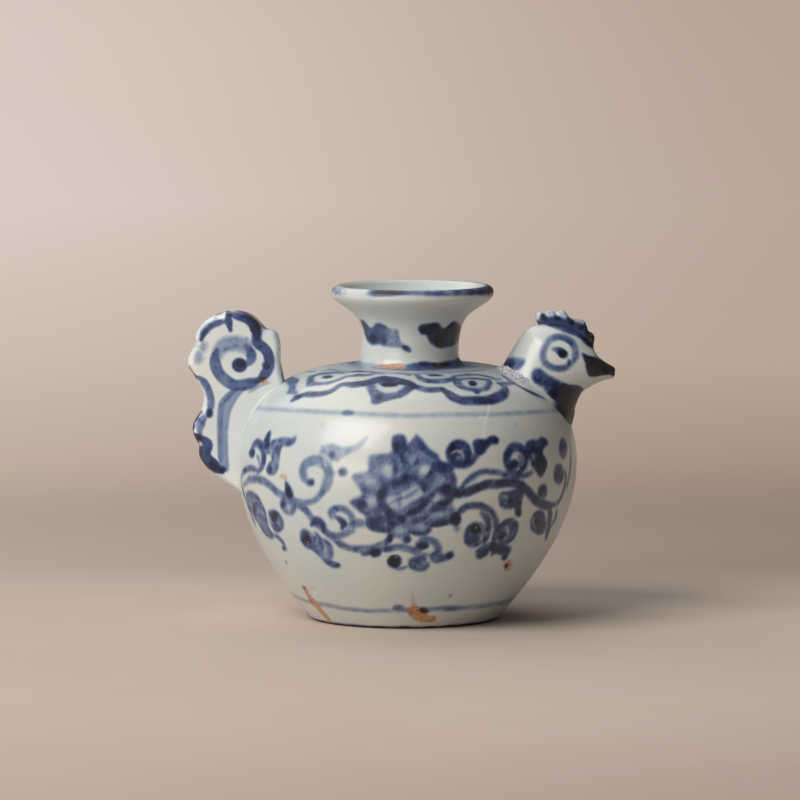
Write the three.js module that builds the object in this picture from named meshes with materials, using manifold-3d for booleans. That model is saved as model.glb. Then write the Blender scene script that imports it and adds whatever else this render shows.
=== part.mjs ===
// A small porcelain water dropper in the shape of a rooster, about 90 mm high, as a potter makes it.
// The pot is two bowls luted rim to rim with slip. A flared neck stands on its shoulder.
// A hollow head, pressed as two halves, is the spout: it pours through its beak. The tail is a solid slab.
// Millimetres, +Z up, +X towards the beak. The origin is the centre of the flat foot, on the table.
import * as THREE from "three";
import { mergeVertices } from "three/addons/utils/BufferGeometryUtils.js";
import Module from "manifold-3d";

const wasm = await Module();
wasm.setup();

// The pot
const FOOT_RADIUS = 25.6;
const FOOT_CHAMFER = 0.7;
const BELLY_RADIUS = 45.4;
const BELLY_HEIGHT = 41;
const SEAT_HEIGHT = 68.3;
const BODY_WALL = 3.4;
const BASE_THICKNESS = 5;
const SLIP_THICKNESS = 0.6;
const SLIP_BEAD = 0.9;
// How far the wall runs out and up as it leaves the foot, before it turns upright
const FOOT_SPREAD = 8.4;
const FOOT_RISE = 9.4;
// How tall the upright belly is below and above its widest level
const BELLY_FULLNESS = 15.9;
// How far the shoulder stays level out from the seat, and how little it falls there
const SHOULDER_REACH = 21.1;
const SHOULDER_FALL = 0.5;
// How far each millimetre of height sets the fired pot over towards the beak
const BODY_LEAN = 0.022;

// The neck, which was luted on a little crooked
const NECK_BORE_RADIUS = 10.1;
const NECK_WAIST_RADIUS = 13.05;
const NECK_WAIST_HEIGHT = 3.6;
const NECK_HEIGHT = 20.6;
const NECK_FOOT_SPREAD = 1.1;
const MOUTH_RADIUS = 21.9;
const MOUTH_FLARE_HEIGHT = 7.6;
const LIP_THICKNESS = 3.9;
const LIP_UNDERCUT = 1.1;
const SEAT_MARGIN = 0.8;
const NECK_OFFSET = 1.3;
const NECK_LEAN = 0.045;

// The head and its comb
const HEAD_INSET = 9;
const HEAD_WALL = 2.3;
const BEAK_BORE_RADIUS = 0.85;
const BEAK_WALL = 0.5;
const SPOUT_HOLE_RADIUS = 5.5;
const COMB_THICKNESS = 4;
const COMB_BACK_HEIGHT = 3.3;
const COMB_FRONT_HEIGHT = 2.2;
const COMB_NOTCH_DEPTH = 1.4;
const COMB_FOOTING = 1.6;
const COMB_ROUND = 0.6;
const COMB_LOBES = 5;

// The tail and the fillets of slip
const TAIL_INSET = 12.4;
const TAIL_THICKNESS = 6.6;
const TAIL_EDGE_ROUND = 1.6;
const FILLET_HEIGHT = 1;
const FILLET_WIDTH = 1.1;
// The gap that is left between two curved pieces that touch
const CLEARANCE = 0.3;

// How finely round shapes are stepped
const TURN_STEPS = 48;
const WALL_STEPS = 10;
const HEAD_SIDES = 24;
const HEAD_RINGS = 18;

const GLAZE = { color: 0xccd2cd, roughness: 0.18, metalness: 0 };
const SLIP = { color: 0xbfc3b9, roughness: 0.35, metalness: 0 };
const COMB_BLUE = { color: 0x39406a, roughness: 0.3, metalness: 0 };

// Turns a closed geometry into a solid that can be joined and cut.
function solidOf(geometry) {
  const bare = geometry.index ? geometry.toNonIndexed() : geometry.clone();
  bare.deleteAttribute("normal");
  bare.deleteAttribute("uv");
  const merged = mergeVertices(bare, 1e-4);
  return new wasm.Manifold(
    new wasm.Mesh({
      numProp: 3,
      vertProperties: merged.attributes.position.array,
      triVerts: new Uint32Array(merged.index.array),
    }),
  );
}

// Turns a solid back into a geometry that a mesh can hold.
function geometryOf(solid) {
  const mesh = solid.getMesh();
  const geometry = new THREE.BufferGeometry();
  geometry.setAttribute("position", new THREE.BufferAttribute(mesh.vertProperties, 3));
  geometry.setIndex(new THREE.BufferAttribute(mesh.triVerts, 1));
  geometry.computeVertexNormals();
  return geometry;
}

// Sets a geometry over towards the beak by offset, and by lean for each unit of height above the level from.
function leant(geometry, lean, offset = 0, from = 0) {
  const position = geometry.attributes.position;
  for (let i = 0; i < position.count; i++) {
    position.setX(i, position.getX(i) + offset + lean * (position.getZ(i) - from));
  }
  return geometry;
}

// Turns a closed outline of [radius, height] points, listed anticlockwise, about the Z axis.
function turned(outline) {
  const points = outline.map(([radius, height]) => new THREE.Vector2(radius, height));
  points.push(points[0].clone());
  return new THREE.LatheGeometry(points, TURN_STEPS).rotateX(Math.PI / 2);
}

// Points along a cubic curve through four [radius, height] handles.
function curve(start, leave, arrive, end, steps) {
  const handles = [start, leave, arrive, end].map(([x, y]) => new THREE.Vector2(x, y));
  return new THREE.CubicBezierCurve(...handles).getPoints(steps).map((p) => [p.x, p.y]);
}

// Moves each point of an open line sideways, to its right as it is walked, by distance.
function shifted(line, distance) {
  return line.map(([x, y], i) => {
    const [ax, ay] = line[Math.max(i - 1, 0)];
    const [bx, by] = line[Math.min(i + 1, line.length - 1)];
    const length = Math.hypot(bx - ax, by - ay);
    return [x + (distance * (by - ay)) / length, y - (distance * (bx - ax)) / length];
  });
}

// The neck's foot, the flat seat that the shoulder keeps for it, and the slip between them
const NECK_FOOT_RADIUS = NECK_WAIST_RADIUS + NECK_FOOT_SPREAD;
const SEAT_RADIUS = NECK_FOOT_RADIUS + SEAT_MARGIN;
const NECK_BASE = SEAT_HEIGHT + SLIP_THICKNESS;

// The outside of the pot, from the foot up to the belly and from the belly up to the neck's seat
const BOWL_LINE = curve(
  [FOOT_RADIUS, FOOT_CHAMFER],
  [FOOT_RADIUS + FOOT_SPREAD, FOOT_CHAMFER + FOOT_RISE],
  [BELLY_RADIUS, BELLY_HEIGHT - BELLY_FULLNESS],
  [BELLY_RADIUS, BELLY_HEIGHT],
  WALL_STEPS,
);
const SHOULDER_LINE = curve(
  [BELLY_RADIUS, BELLY_HEIGHT],
  [BELLY_RADIUS, BELLY_HEIGHT + BELLY_FULLNESS],
  [SEAT_RADIUS + SHOULDER_REACH, SEAT_HEIGHT - SHOULDER_FALL],
  [SEAT_RADIUS, SEAT_HEIGHT],
  WALL_STEPS,
);

// The lower and upper faces of the joint at the belly, and the radius of the walls inside it
const JOINT_LOW = BELLY_HEIGHT - SLIP_THICKNESS / 2;
const JOINT_HIGH = BELLY_HEIGHT + SLIP_THICKNESS / 2;
const JOINT_INNER = BELLY_RADIUS - BODY_WALL;

// The space that the pot's outside fills, grown by distance, to cut what is luted on to it.
function potSpace(distance) {
  const outside = shifted([...BOWL_LINE, ...SHOULDER_LINE.slice(1)], distance);
  const top = outside[outside.length - 1][1];
  const axis = [[0, top], [0, outside[0][1]]];
  return solidOf(leant(turned([...outside, ...axis]), BODY_LEAN));
}

// A point on the shoulder in the plane of symmetry, inset from the belly. Side is 1 by the beak, -1 by the tail.
function shoulderPoint(inset, side) {
  const radius = BELLY_RADIUS - inset;
  const next = SHOULDER_LINE.findIndex(([r]) => r < radius);
  const [[r0, h0], [r1, h1]] = SHOULDER_LINE.slice(next - 1, next + 1);
  const height = THREE.MathUtils.mapLinear(radius, r0, r1, h0, h1);
  return new THREE.Vector2(side * radius + BODY_LEAN * height, height);
}

// The lower bowl: a flat foot, and walls that rise to the joint at the belly.
function lowerBowl() {
  const inside = shifted(BOWL_LINE, -BODY_WALL)
    .slice(0, -1)
    .filter(([, height]) => height > BASE_THICKNESS + BODY_WALL / 2);
  return turned([
    [0, 0],
    [FOOT_RADIUS - FOOT_CHAMFER, 0],
    ...BOWL_LINE.slice(0, -1),
    [BELLY_RADIUS, JOINT_LOW],
    [JOINT_INNER, JOINT_LOW],
    ...inside.reverse(),
    [FOOT_RADIUS - BODY_WALL, BASE_THICKNESS],
    [0, BASE_THICKNESS],
  ]);
}

// The upper bowl, set rim down: the shoulder, with the flat seat of the neck and the hole through it.
function upperBowl() {
  const inside = shifted(SHOULDER_LINE, -BODY_WALL).slice(1, -1);
  const around = turned([
    [BELLY_RADIUS, JOINT_HIGH],
    ...SHOULDER_LINE.slice(1),
    [NECK_BORE_RADIUS, SEAT_HEIGHT],
    [NECK_BORE_RADIUS, SEAT_HEIGHT - BODY_WALL],
    ...inside.reverse(),
    [JOINT_INNER, JOINT_HIGH],
  ]);
  return solidOf(leant(around, BODY_LEAN)).subtract(spoutHole());
}

// The ring of slip between the two bowls, with the bead that squeezes out inside.
function bellySlip() {
  return turned([
    [BELLY_RADIUS, JOINT_LOW],
    [BELLY_RADIUS, JOINT_HIGH],
    [JOINT_INNER, JOINT_HIGH],
    [JOINT_INNER - SLIP_BEAD, BELLY_HEIGHT],
    [JOINT_INNER, JOINT_LOW],
  ]);
}

// The ring of slip between the shoulder's seat and the neck.
function neckSlip() {
  return turned([
    [NECK_BORE_RADIUS, SEAT_HEIGHT],
    [NECK_FOOT_RADIUS + SLIP_THICKNESS, SEAT_HEIGHT],
    [NECK_FOOT_RADIUS, NECK_BASE],
    [NECK_BORE_RADIUS, NECK_BASE],
  ]);
}

// The neck: a waisted tube that flares to a thick rolled lip.
function neck() {
  const waist = NECK_BASE + NECK_WAIST_HEIGHT;
  const top = NECK_BASE + NECK_HEIGHT;
  const flareStart = top - MOUTH_FLARE_HEIGHT;
  const lipRound = LIP_THICKNESS / 2;
  const lipCentre = [MOUTH_RADIUS - lipRound, top - lipRound];
  const underLip = [MOUTH_RADIUS - LIP_UNDERCUT, top - LIP_THICKNESS];
  const flareRadius = THREE.MathUtils.lerp(NECK_WAIST_RADIUS, underLip[0], 0.36);
  const insideLip = [MOUTH_RADIUS - LIP_THICKNESS, top - lipRound];
  const insideRadius = THREE.MathUtils.lerp(NECK_BORE_RADIUS, insideLip[0], 0.45);
  const foot = curve(
    [NECK_FOOT_RADIUS, NECK_BASE],
    [THREE.MathUtils.lerp(NECK_FOOT_RADIUS, NECK_WAIST_RADIUS, 0.7), NECK_BASE + SLIP_THICKNESS],
    [NECK_WAIST_RADIUS, NECK_BASE + NECK_WAIST_HEIGHT / 2],
    [NECK_WAIST_RADIUS, waist],
    3,
  );
  const flare = curve(
    [NECK_WAIST_RADIUS, waist],
    [NECK_WAIST_RADIUS, flareStart],
    [flareRadius, flareStart],
    underLip,
    7,
  );
  const lip = new THREE.EllipseCurve(...lipCentre, lipRound, lipRound, -0.6, 2.5).getPoints(7);
  const inside = curve(
    insideLip,
    [insideRadius, THREE.MathUtils.lerp(top, flareStart, 0.8)],
    [NECK_BORE_RADIUS, flareStart],
    [NECK_BORE_RADIUS, waist],
    6,
  );
  return turned([
    ...foot,
    ...flare.slice(1),
    ...lip.map((p) => [p.x, p.y]),
    ...inside,
    [NECK_BORE_RADIUS, NECK_BASE],
  ]);
}

// The head, as stations from its root inside the shoulder to the tip of its beak, in the plane of symmetry.
// Each station gives the point on its back or crown, the point on its throat or chin, and half its width.
// The points are measured from HEAD_ROOT, the middle of the root on the shoulder.
const HEAD_ROOT = shoulderPoint(HEAD_INSET, 1);
const BEAK_TIP_HALF = BEAK_BORE_RADIUS + BEAK_WALL;
const HEAD_STATIONS = [
  { back: [-15.5, 1.8], throat: [2.7, -12.6], half: 13.0 },
  { back: [-12.3, 4.9], throat: [6.1, -9.6], half: 12.6 },
  { back: [-7.0, 13.4], throat: [9.4, -1.7], half: 9.2 },
  { back: [-3.4, 16.8], throat: [11.8, 0.3], half: 8.5 },
  { back: [3.7, 17.3], throat: [14.0, 1.5], half: 7.4 },
  { back: [10.8, 13.5], throat: [15.9, 2.2], half: 4.9 },
  { back: [14.4, 8.3], throat: [17.2, 2.5], half: 2.7 },
  { back: [18.7, 4.2 + BEAK_TIP_HALF], throat: [18.5, 4.2 - BEAK_TIP_HALF], half: BEAK_TIP_HALF },
];
// The shares of the way to the beak where the hollow ends, and where the comb starts and ends
const HOLLOW_END = 0.66;
const COMB_START = 0.455;
const COMB_END = 0.765;

// A smooth line through one of the points of each station, on the head's back or on its throat.
function headLine(part) {
  return new THREE.SplineCurve(HEAD_STATIONS.map((at) => new THREE.Vector2(...at[part]).add(HEAD_ROOT)));
}
const BACK_LINE = headLine("back");
const THROAT_LINE = headLine("throat");
const HALF_LINE = new THREE.SplineCurve(HEAD_STATIONS.map((at) => new THREE.Vector2(at.half, 0)));

// The middle of the head at a share of the way to the beak.
function headMiddle(share) {
  return BACK_LINE.getPoint(share).add(THROAT_LINE.getPoint(share)).multiplyScalar(0.5);
}

// The ring of points round the head at a share of the way to the beak, grown by distance.
function headRing(share, distance) {
  const middle = headMiddle(share);
  const half = BACK_LINE.getPoint(share).sub(middle);
  half.setLength(Math.max(half.length() + distance, BEAK_BORE_RADIUS));
  const width = Math.max(HALF_LINE.getPoint(share).x + distance, BEAK_BORE_RADIUS);
  return Array.from({ length: HEAD_SIDES }, (_, i) => {
    const turn = (-2 * Math.PI * i) / HEAD_SIDES;
    const lift = Math.cos(turn);
    return new THREE.Vector3(middle.x + half.x * lift, width * Math.sin(turn), middle.y + half.y * lift);
  });
}

// Skins rings of equally many points and closes both ends.
function skinned(rings) {
  const count = rings[0].length;
  const faces = [];
  for (let ring = 0; ring + 1 < rings.length; ring++) {
    for (let i = 0; i < count; i++) {
      const a = ring * count + i;
      const b = ring * count + ((i + 1) % count);
      faces.push(a, b, b + count, a, b + count, a + count);
    }
  }
  const last = (rings.length - 1) * count;
  for (let i = 1; i + 1 < count; i++) {
    faces.push(0, i + 1, i, last, last + i, last + i + 1);
  }
  const geometry = new THREE.BufferGeometry().setFromPoints(rings.flat());
  geometry.setIndex(faces);
  return geometry;
}

// The head's form up to a share of the way to the beak, grown by distance.
function headForm(distance, end = 1) {
  const rings = Math.ceil(HEAD_RINGS * end);
  const shares = Array.from({ length: rings + 1 }, (_, i) => (end * i) / rings);
  return solidOf(skinned(shares.map((share) => headRing(share, distance))));
}

// A round bar in the plane of symmetry from one point to another.
function bar(from, to, radius, sides) {
  const along = to.clone().sub(from);
  const middle = from.clone().add(to).multiplyScalar(0.5);
  const round = new THREE.CylinderGeometry(radius, radius, along.length(), sides);
  round.rotateZ(-Math.PI / 2).rotateY(-along.angle());
  return solidOf(round.translate(middle.x, 0, middle.y));
}

// The bore through the beak, from the hollow of the head to past its tip.
function beakBore() {
  const tip = headMiddle(1);
  const start = headMiddle(HOLLOW_END * 0.9);
  const past = tip.clone().sub(start).setLength(HEAD_WALL).add(tip);
  return bar(start, past, BEAK_BORE_RADIUS, 12);
}

// The hole through the shoulder under the head, which lets the water into it.
function spoutHole() {
  const out = headMiddle(0.2).sub(headMiddle(0)).setLength(BODY_WALL * 3);
  const from = headMiddle(0).sub(out);
  const to = headMiddle(0).add(out).add(out);
  return bar(from, to, SPOUT_HOLE_RADIUS, 20);
}

// The hollow head, cut to the shoulder and open at the tip of its beak.
function headShell() {
  return headForm(0)
    .subtract(headForm(-HEAD_WALL, HOLLOW_END))
    .subtract(beakBore())
    .subtract(potSpace(CLEARANCE));
}

// Keeps the half of a solid on one side of the plane of symmetry.
function halfOf(solid, side) {
  const size = 4 * BELLY_RADIUS;
  const block = new THREE.BoxGeometry(size, size, size).translate(0, (side * size) / 2, 0);
  return geometryOf(solid.intersect(solidOf(block)));
}

// A flat shape drawn in X and Z, centred on the plane of symmetry, with rounded edges.
function slab(shape, thickness, round) {
  const geometry = new THREE.ExtrudeGeometry(shape, {
    depth: thickness - 2 * round,
    bevelThickness: round,
    bevelSize: round,
    bevelOffset: -round,
    bevelSegments: 3,
  });
  return solidOf(geometry.rotateX(Math.PI / 2).translate(0, thickness / 2 - round, 0));
}

// The comb: a strip with round lobes that stands on the crown.
function comb() {
  const steps = COMB_LOBES * 6;
  const top = [];
  const bottom = [];
  for (let i = 0; i <= steps; i++) {
    const share = THREE.MathUtils.lerp(COMB_START, COMB_END, i / steps);
    const point = BACK_LINE.getPoint(share);
    const ahead = BACK_LINE.getTangent(share);
    const out = new THREE.Vector2(-ahead.y, ahead.x);
    const height = THREE.MathUtils.lerp(COMB_BACK_HEIGHT, COMB_FRONT_HEIGHT, i / steps);
    const lobe = Math.sqrt(Math.abs(Math.sin((Math.PI * COMB_LOBES * i) / steps)));
    top.push(point.clone().addScaledVector(out, height - COMB_NOTCH_DEPTH * (1 - lobe)));
    bottom.push(point.clone().addScaledVector(out, -COMB_FOOTING));
  }
  const shape = new THREE.Shape([...top.reverse(), ...bottom]);
  return geometryOf(slab(shape, COMB_THICKNESS, COMB_ROUND).subtract(headForm(CLEARANCE)));
}

// The tail's lobes, from the root on the shoulder up, over and down to the belly, in the plane of symmetry.
// Each lobe is a smooth line through its points and starts where the one before it ends, in a notch.
// The points are measured from TAIL_ROOT, where the tail's upper edge leaves the shoulder.
const TAIL_ROOT = shoulderPoint(TAIL_INSET, -1);
const TAIL_LOBES = [
  [[-0.4, -0.6], [-1.5, 5.2], [-1.6, 10.0], [-2.8, 13.0], [-5.5, 14.0]],
  [[-5.5, 14.0], [-8.7, 17.3], [-12.4, 18.6], [-15.9, 18.1]],
  [[-15.9, 18.1], [-20.2, 15.9], [-23.4, 13.0], [-24.2, 9.2]],
  [[-24.2, 9.2], [-26.1, 6.8], [-26.4, 4.1], [-24.4, 0.7], [-22.2, -4.2], [-23.0, -8.3]],
  [[-23.0, -8.3], [-24.9, -11.5], [-25.1, -14.2], [-23.5, -17.5]],
  [[-23.5, -17.5], [-23.3, -20.8], [-20.8, -24.2], [-17.4, -26.9], [-10.9, -31.2]],
];
// How far the slab runs on inside the pot's outline before it is cut, in from its ends
const TAIL_RUN_IN = 8;

// The tail, a solid slab cut to the curve of the pot.
function tail() {
  const lobes = TAIL_LOBES.map((lobe) => lobe.map(([x, z]) => new THREE.Vector2(x, z).add(TAIL_ROOT)));
  const outline = lobes.flatMap((lobe) => new THREE.SplineCurve(lobe).getPoints(2 * lobe.length).slice(0, -1));
  const low = lobes.at(-1).at(-1);
  const high = lobes[0][0];
  outline.push(low, low.clone().setX(low.x + TAIL_RUN_IN), high.clone().setX(high.x + TAIL_RUN_IN));
  const shape = new THREE.Shape(outline.reverse());
  return geometryOf(slab(shape, TAIL_THICKNESS, TAIL_EDGE_ROUND).subtract(potSpace(CLEARANCE)));
}

// The layer just outside the pot that a fillet of slip fills.
function filletLayer() {
  return potSpace(CLEARANCE + FILLET_HEIGHT).subtract(potSpace(CLEARANCE));
}

// The fillet of slip round the root of the head.
function headSlip() {
  return geometryOf(
    filletLayer()
      .intersect(headForm(CLEARANCE + FILLET_WIDTH))
      .subtract(headForm(CLEARANCE)),
  );
}

// The fillet of slip along one side of the tail's root.
function tailSlip(side) {
  const low = TAIL_ROOT.y + TAIL_LOBES.at(-1).at(-1)[1] + FILLET_WIDTH * 3;
  const high = TAIL_ROOT.y - FILLET_WIDTH;
  const near = TAIL_THICKNESS / 2 + CLEARANCE;
  const strip = new THREE.BoxGeometry(BELLY_RADIUS, FILLET_WIDTH, high - low);
  strip.translate(-BELLY_RADIUS, side * (near + FILLET_WIDTH / 2), (low + high) / 2);
  return geometryOf(filletLayer().intersect(solidOf(strip)));
}

const dropper = new THREE.Group();
function add(name, geometry, finish) {
  const mesh = new THREE.Mesh(geometry, new THREE.MeshStandardMaterial(finish));
  mesh.name = name;
  dropper.add(mesh);
}

const head = headShell();
add("lower_bowl", leant(lowerBowl(), BODY_LEAN), GLAZE);
add("belly_slip_ring", leant(bellySlip(), BODY_LEAN), SLIP);
add("upper_bowl", geometryOf(upperBowl()), GLAZE);
add("neck_slip_ring", leant(neckSlip(), NECK_LEAN, NECK_OFFSET, SEAT_HEIGHT), SLIP);
add("neck", leant(neck(), NECK_LEAN, NECK_OFFSET, SEAT_HEIGHT), GLAZE);
add("head_left_half", halfOf(head, 1), GLAZE);
add("head_right_half", halfOf(head, -1), GLAZE);
add("comb", comb(), COMB_BLUE);
add("head_slip_fillet", headSlip(), SLIP);
add("tail", tail(), GLAZE);
add("tail_slip_left", tailSlip(1), SLIP);
add("tail_slip_right", tailSlip(-1), SLIP);

export default dropper;
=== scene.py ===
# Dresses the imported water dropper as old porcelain, painted in cobalt blue under a pale glaze.
# Sizes are in millimetres, in the frame of the CAD, and become metres where a mesh is made.
import math

import bpy
import numpy as np
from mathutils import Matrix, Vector
from mathutils.geometry import delaunay_2d_cdt


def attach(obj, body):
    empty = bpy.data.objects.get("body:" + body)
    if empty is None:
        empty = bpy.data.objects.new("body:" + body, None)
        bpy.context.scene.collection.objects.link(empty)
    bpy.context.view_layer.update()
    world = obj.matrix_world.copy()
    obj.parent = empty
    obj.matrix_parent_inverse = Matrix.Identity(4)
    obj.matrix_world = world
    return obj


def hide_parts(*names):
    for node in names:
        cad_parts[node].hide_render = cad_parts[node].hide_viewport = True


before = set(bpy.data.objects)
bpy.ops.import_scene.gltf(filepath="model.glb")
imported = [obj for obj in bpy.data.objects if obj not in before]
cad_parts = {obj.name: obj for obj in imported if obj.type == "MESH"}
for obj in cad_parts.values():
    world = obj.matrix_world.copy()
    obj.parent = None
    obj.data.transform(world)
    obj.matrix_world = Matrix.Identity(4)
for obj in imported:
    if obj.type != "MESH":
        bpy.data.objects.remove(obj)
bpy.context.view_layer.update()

MM = 0.001

# The pot, as in the CAD
FOOT_RADIUS = 25.6
FOOT_CHAMFER = 0.7
BELLY_RADIUS = 45.4
BELLY_HEIGHT = 41.0
SEAT_RADIUS = 14.95
SEAT_HEIGHT = 68.3
BODY_WALL = 3.4
BASE_THICKNESS = 5.0
INNER_BASE_RADIUS = 12.0
UNDER_RADIUS = 3.0
BODY_LEAN = 0.022
BOWL_HANDLES = [
    (FOOT_RADIUS, FOOT_CHAMFER), (34.0, 10.1), (BELLY_RADIUS, 25.1), (BELLY_RADIUS, BELLY_HEIGHT),
]
SHOULDER_HANDLES = [
    (BELLY_RADIUS, BELLY_HEIGHT), (BELLY_RADIUS, 56.9), (36.05, 67.8), (SEAT_RADIUS, SEAT_HEIGHT),
]

# The neck, as in the CAD
NECK_BORE = 10.1
NECK_WAIST = 13.05
NECK_FOOT_RADIUS = 14.15
NECK_BASE = 68.9
NECK_OFFSET = 1.3
NECK_LEAN = 0.045
FLARE_START = 72.5
FLARE_PULL = 81.9
LIP_START = 85.6
LIP_CENTRE = (19.95, 87.55)
LIP_RADIUS = 1.95
NECK_FOOT_HANDLES = [(NECK_FOOT_RADIUS, NECK_BASE), (13.38, 69.5), (NECK_WAIST, 70.7),
                     (NECK_WAIST, FLARE_START)]
FLARE_HANDLES = [(NECK_WAIST, FLARE_START), (NECK_WAIST, FLARE_PULL), (15.84, FLARE_PULL), (20.8, LIP_START)]
THROAT_HANDLES = [
    (LIP_CENTRE[0] - LIP_RADIUS, LIP_CENTRE[1]), (13.66, 83.42), (NECK_BORE, FLARE_PULL),
    (NECK_BORE, FLARE_START),
]

# How finely the painted surfaces are divided
ROW_STEP = 0.42
POT_COLUMNS = 720
NECK_COLUMNS = 320

# The camera of the photograph
EYE = np.array([-1.206, -1700.0, 215.0])
TARGET = np.array([-1.206, 0.0, 58.6])
LENS = 286.6
SENSOR = 36.0
FARTHEST = 50.0

# The studio, in metres: how far the floor reaches, where the backdrop has its last tone, the distance from
# which its change from left to right widens, where the floor behind the dropper is painted darker as painted
# shade, where the backdrop begins, and the point that the lamps look at
FLOOR_REACH = 12.0
BACKDROP_AWAY = 6.0
WIDENS_FROM = 1.7
BEHIND = (0.05, 0.13)
BACKDROP = (0.17, 0.45)
LIT_POINT = np.array([0, 0, 0.045])
WARM_WHITE = (1.0, 0.985, 0.965)
WARMER_WHITE = (1.0, 0.97, 0.95)
SKY_WHITE = (0.97, 0.98, 1.0, 1.0)
SKY_STRENGTH = 0.095

# What the vertices carry for the material
PIGMENTS = ("ink", "rust", "bare", "pale")

# How dark a plain stroke of cobalt is
PLAIN = 1.0

# How far a stroke spreads past its brush: by a share of its width, and by a length
BRUSH_SPREAD = 0.12
BRUSH_BLEED = 0.2

# How much darker a stroke is at its rim, how uneven it is along its way, and how much of the fainter one of
# two strokes shows where they cross
POOLING = 0.12
UNEVENNESS = 0.16
CROSSED = 0.25


# Points along a cubic curve through four handles.
def bezier(handles, count):
    a, b, c, d = (np.array(p, float) for p in handles)
    t = np.linspace(0, 1, count)[:, None]
    return (1 - t) ** 3 * a + 3 * (1 - t) ** 2 * t * b + 3 * (1 - t) * t**2 * c + t**3 * d


# Points on an arc about a centre, between two angles.
def arc(centre, radius, start, end, count):
    turn = np.linspace(start, end, count)
    return np.column_stack([centre[0] + radius * np.cos(turn), centre[1] + radius * np.sin(turn)])


# The length along a line of points up to each of them.
def lengths(points):
    steps = np.linalg.norm(np.diff(points, axis=0), axis=1)
    return np.concatenate([[0.0], np.cumsum(steps)])


# A line of points again, a step apart.
def evenly(points, step):
    points = np.asarray(points, float)
    along = lengths(points)
    count = max(int(round(along[-1] / step)), 1) + 1
    wanted = np.linspace(0, along[-1], count)
    return np.column_stack([np.interp(wanted, along, points[:, i]) for i in range(points.shape[1])])


# A smooth line through points, as dense as the step.
def smooth_line(points, step=0.5):
    points = np.asarray(points, float)
    if len(points) < 3:
        return evenly(points, step)
    ends = np.vstack([2 * points[0] - points[1], points, 2 * points[-1] - points[-2]])
    t = np.linspace(0, 1, 9)[:-1, None]
    parts = []
    for a, b, c, d in zip(ends, ends[1:], ends[2:], ends[3:]):
        parts.append(0.5 * (2 * b + (c - a) * t + (2 * a - 5 * b + 4 * c - d) * t**2
                            + (3 * b - a - 3 * c + d) * t**3))
    return evenly(np.vstack([*parts, points[-1:]]), step)


# 0 below low, 1 above high, and smooth between.
def smoothstep(low, high, value):
    share = np.clip((value - low) / (high - low), 0, 1)
    return share * share * (3 - 2 * share)


# 1 between the second and the third of four values, and 0 below the first and above the fourth.
def plateau(value, first, second, third, fourth):
    return smoothstep(first, second, value) * (1 - smoothstep(third, fourth, value))


# Smooth random waves of about -1 to 1 over points, of about the given size.
def waves(points, size, seed, layers=7):
    rng = np.random.default_rng(seed)
    total = np.zeros(points.shape[:-1])
    for _ in range(layers):
        way = rng.normal(size=points.shape[-1])
        way *= 2 * math.pi * rng.uniform(0.6, 1.5) / (size * np.linalg.norm(way))
        total += np.sin(points @ way + rng.uniform(0, 2 * math.pi))
    return total / math.sqrt(layers)


# The faces of a grid of vertices with so many rows and columns, whose last column joins its first.
def grid_faces(rows, columns):
    index = np.arange(rows * columns).reshape(rows, columns)
    after = np.roll(index, -1, axis=1)
    return np.stack([index[:-1], after[:-1], after[1:], index[1:]], axis=-1).reshape(-1, 4)


# The faces that join the last row of a closed grid to its first.
def joined_ends(rows, columns):
    last = (rows - 1) * columns
    ring = np.arange(columns)
    after = (ring + 1) % columns
    return np.column_stack([last + ring, last + after, after, ring]).tolist()


# The two faces that close the ends of a closed grid.
def end_caps(rows, columns):
    last = (rows - 1) * columns
    return [list(range(last, last + columns)), list(range(columns))[::-1]]


# A mesh object from vertices in millimetres, with its pigments and material.
def made(name, vertices, faces, material, replaced, pigments=None, crease=50):
    mesh = bpy.data.meshes.new(name)
    mesh.from_pydata((np.asarray(vertices) * MM).tolist(), [], [list(f) for f in faces])
    mesh.validate()
    mesh.shade_smooth()
    mesh.set_sharp_from_angle(angle=math.radians(crease))
    for pigment, amount in (pigments or {}).items():
        layer = mesh.attributes.new(pigment, "FLOAT", "POINT")
        layer.data.foreach_set("value", np.asarray(amount, np.float32).ravel())
    mesh.materials.append(material)
    piece = bpy.data.objects.new(name, mesh)
    bpy.context.scene.collection.objects.link(piece)
    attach(piece, "root")
    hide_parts(*replaced)
    return piece


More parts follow.
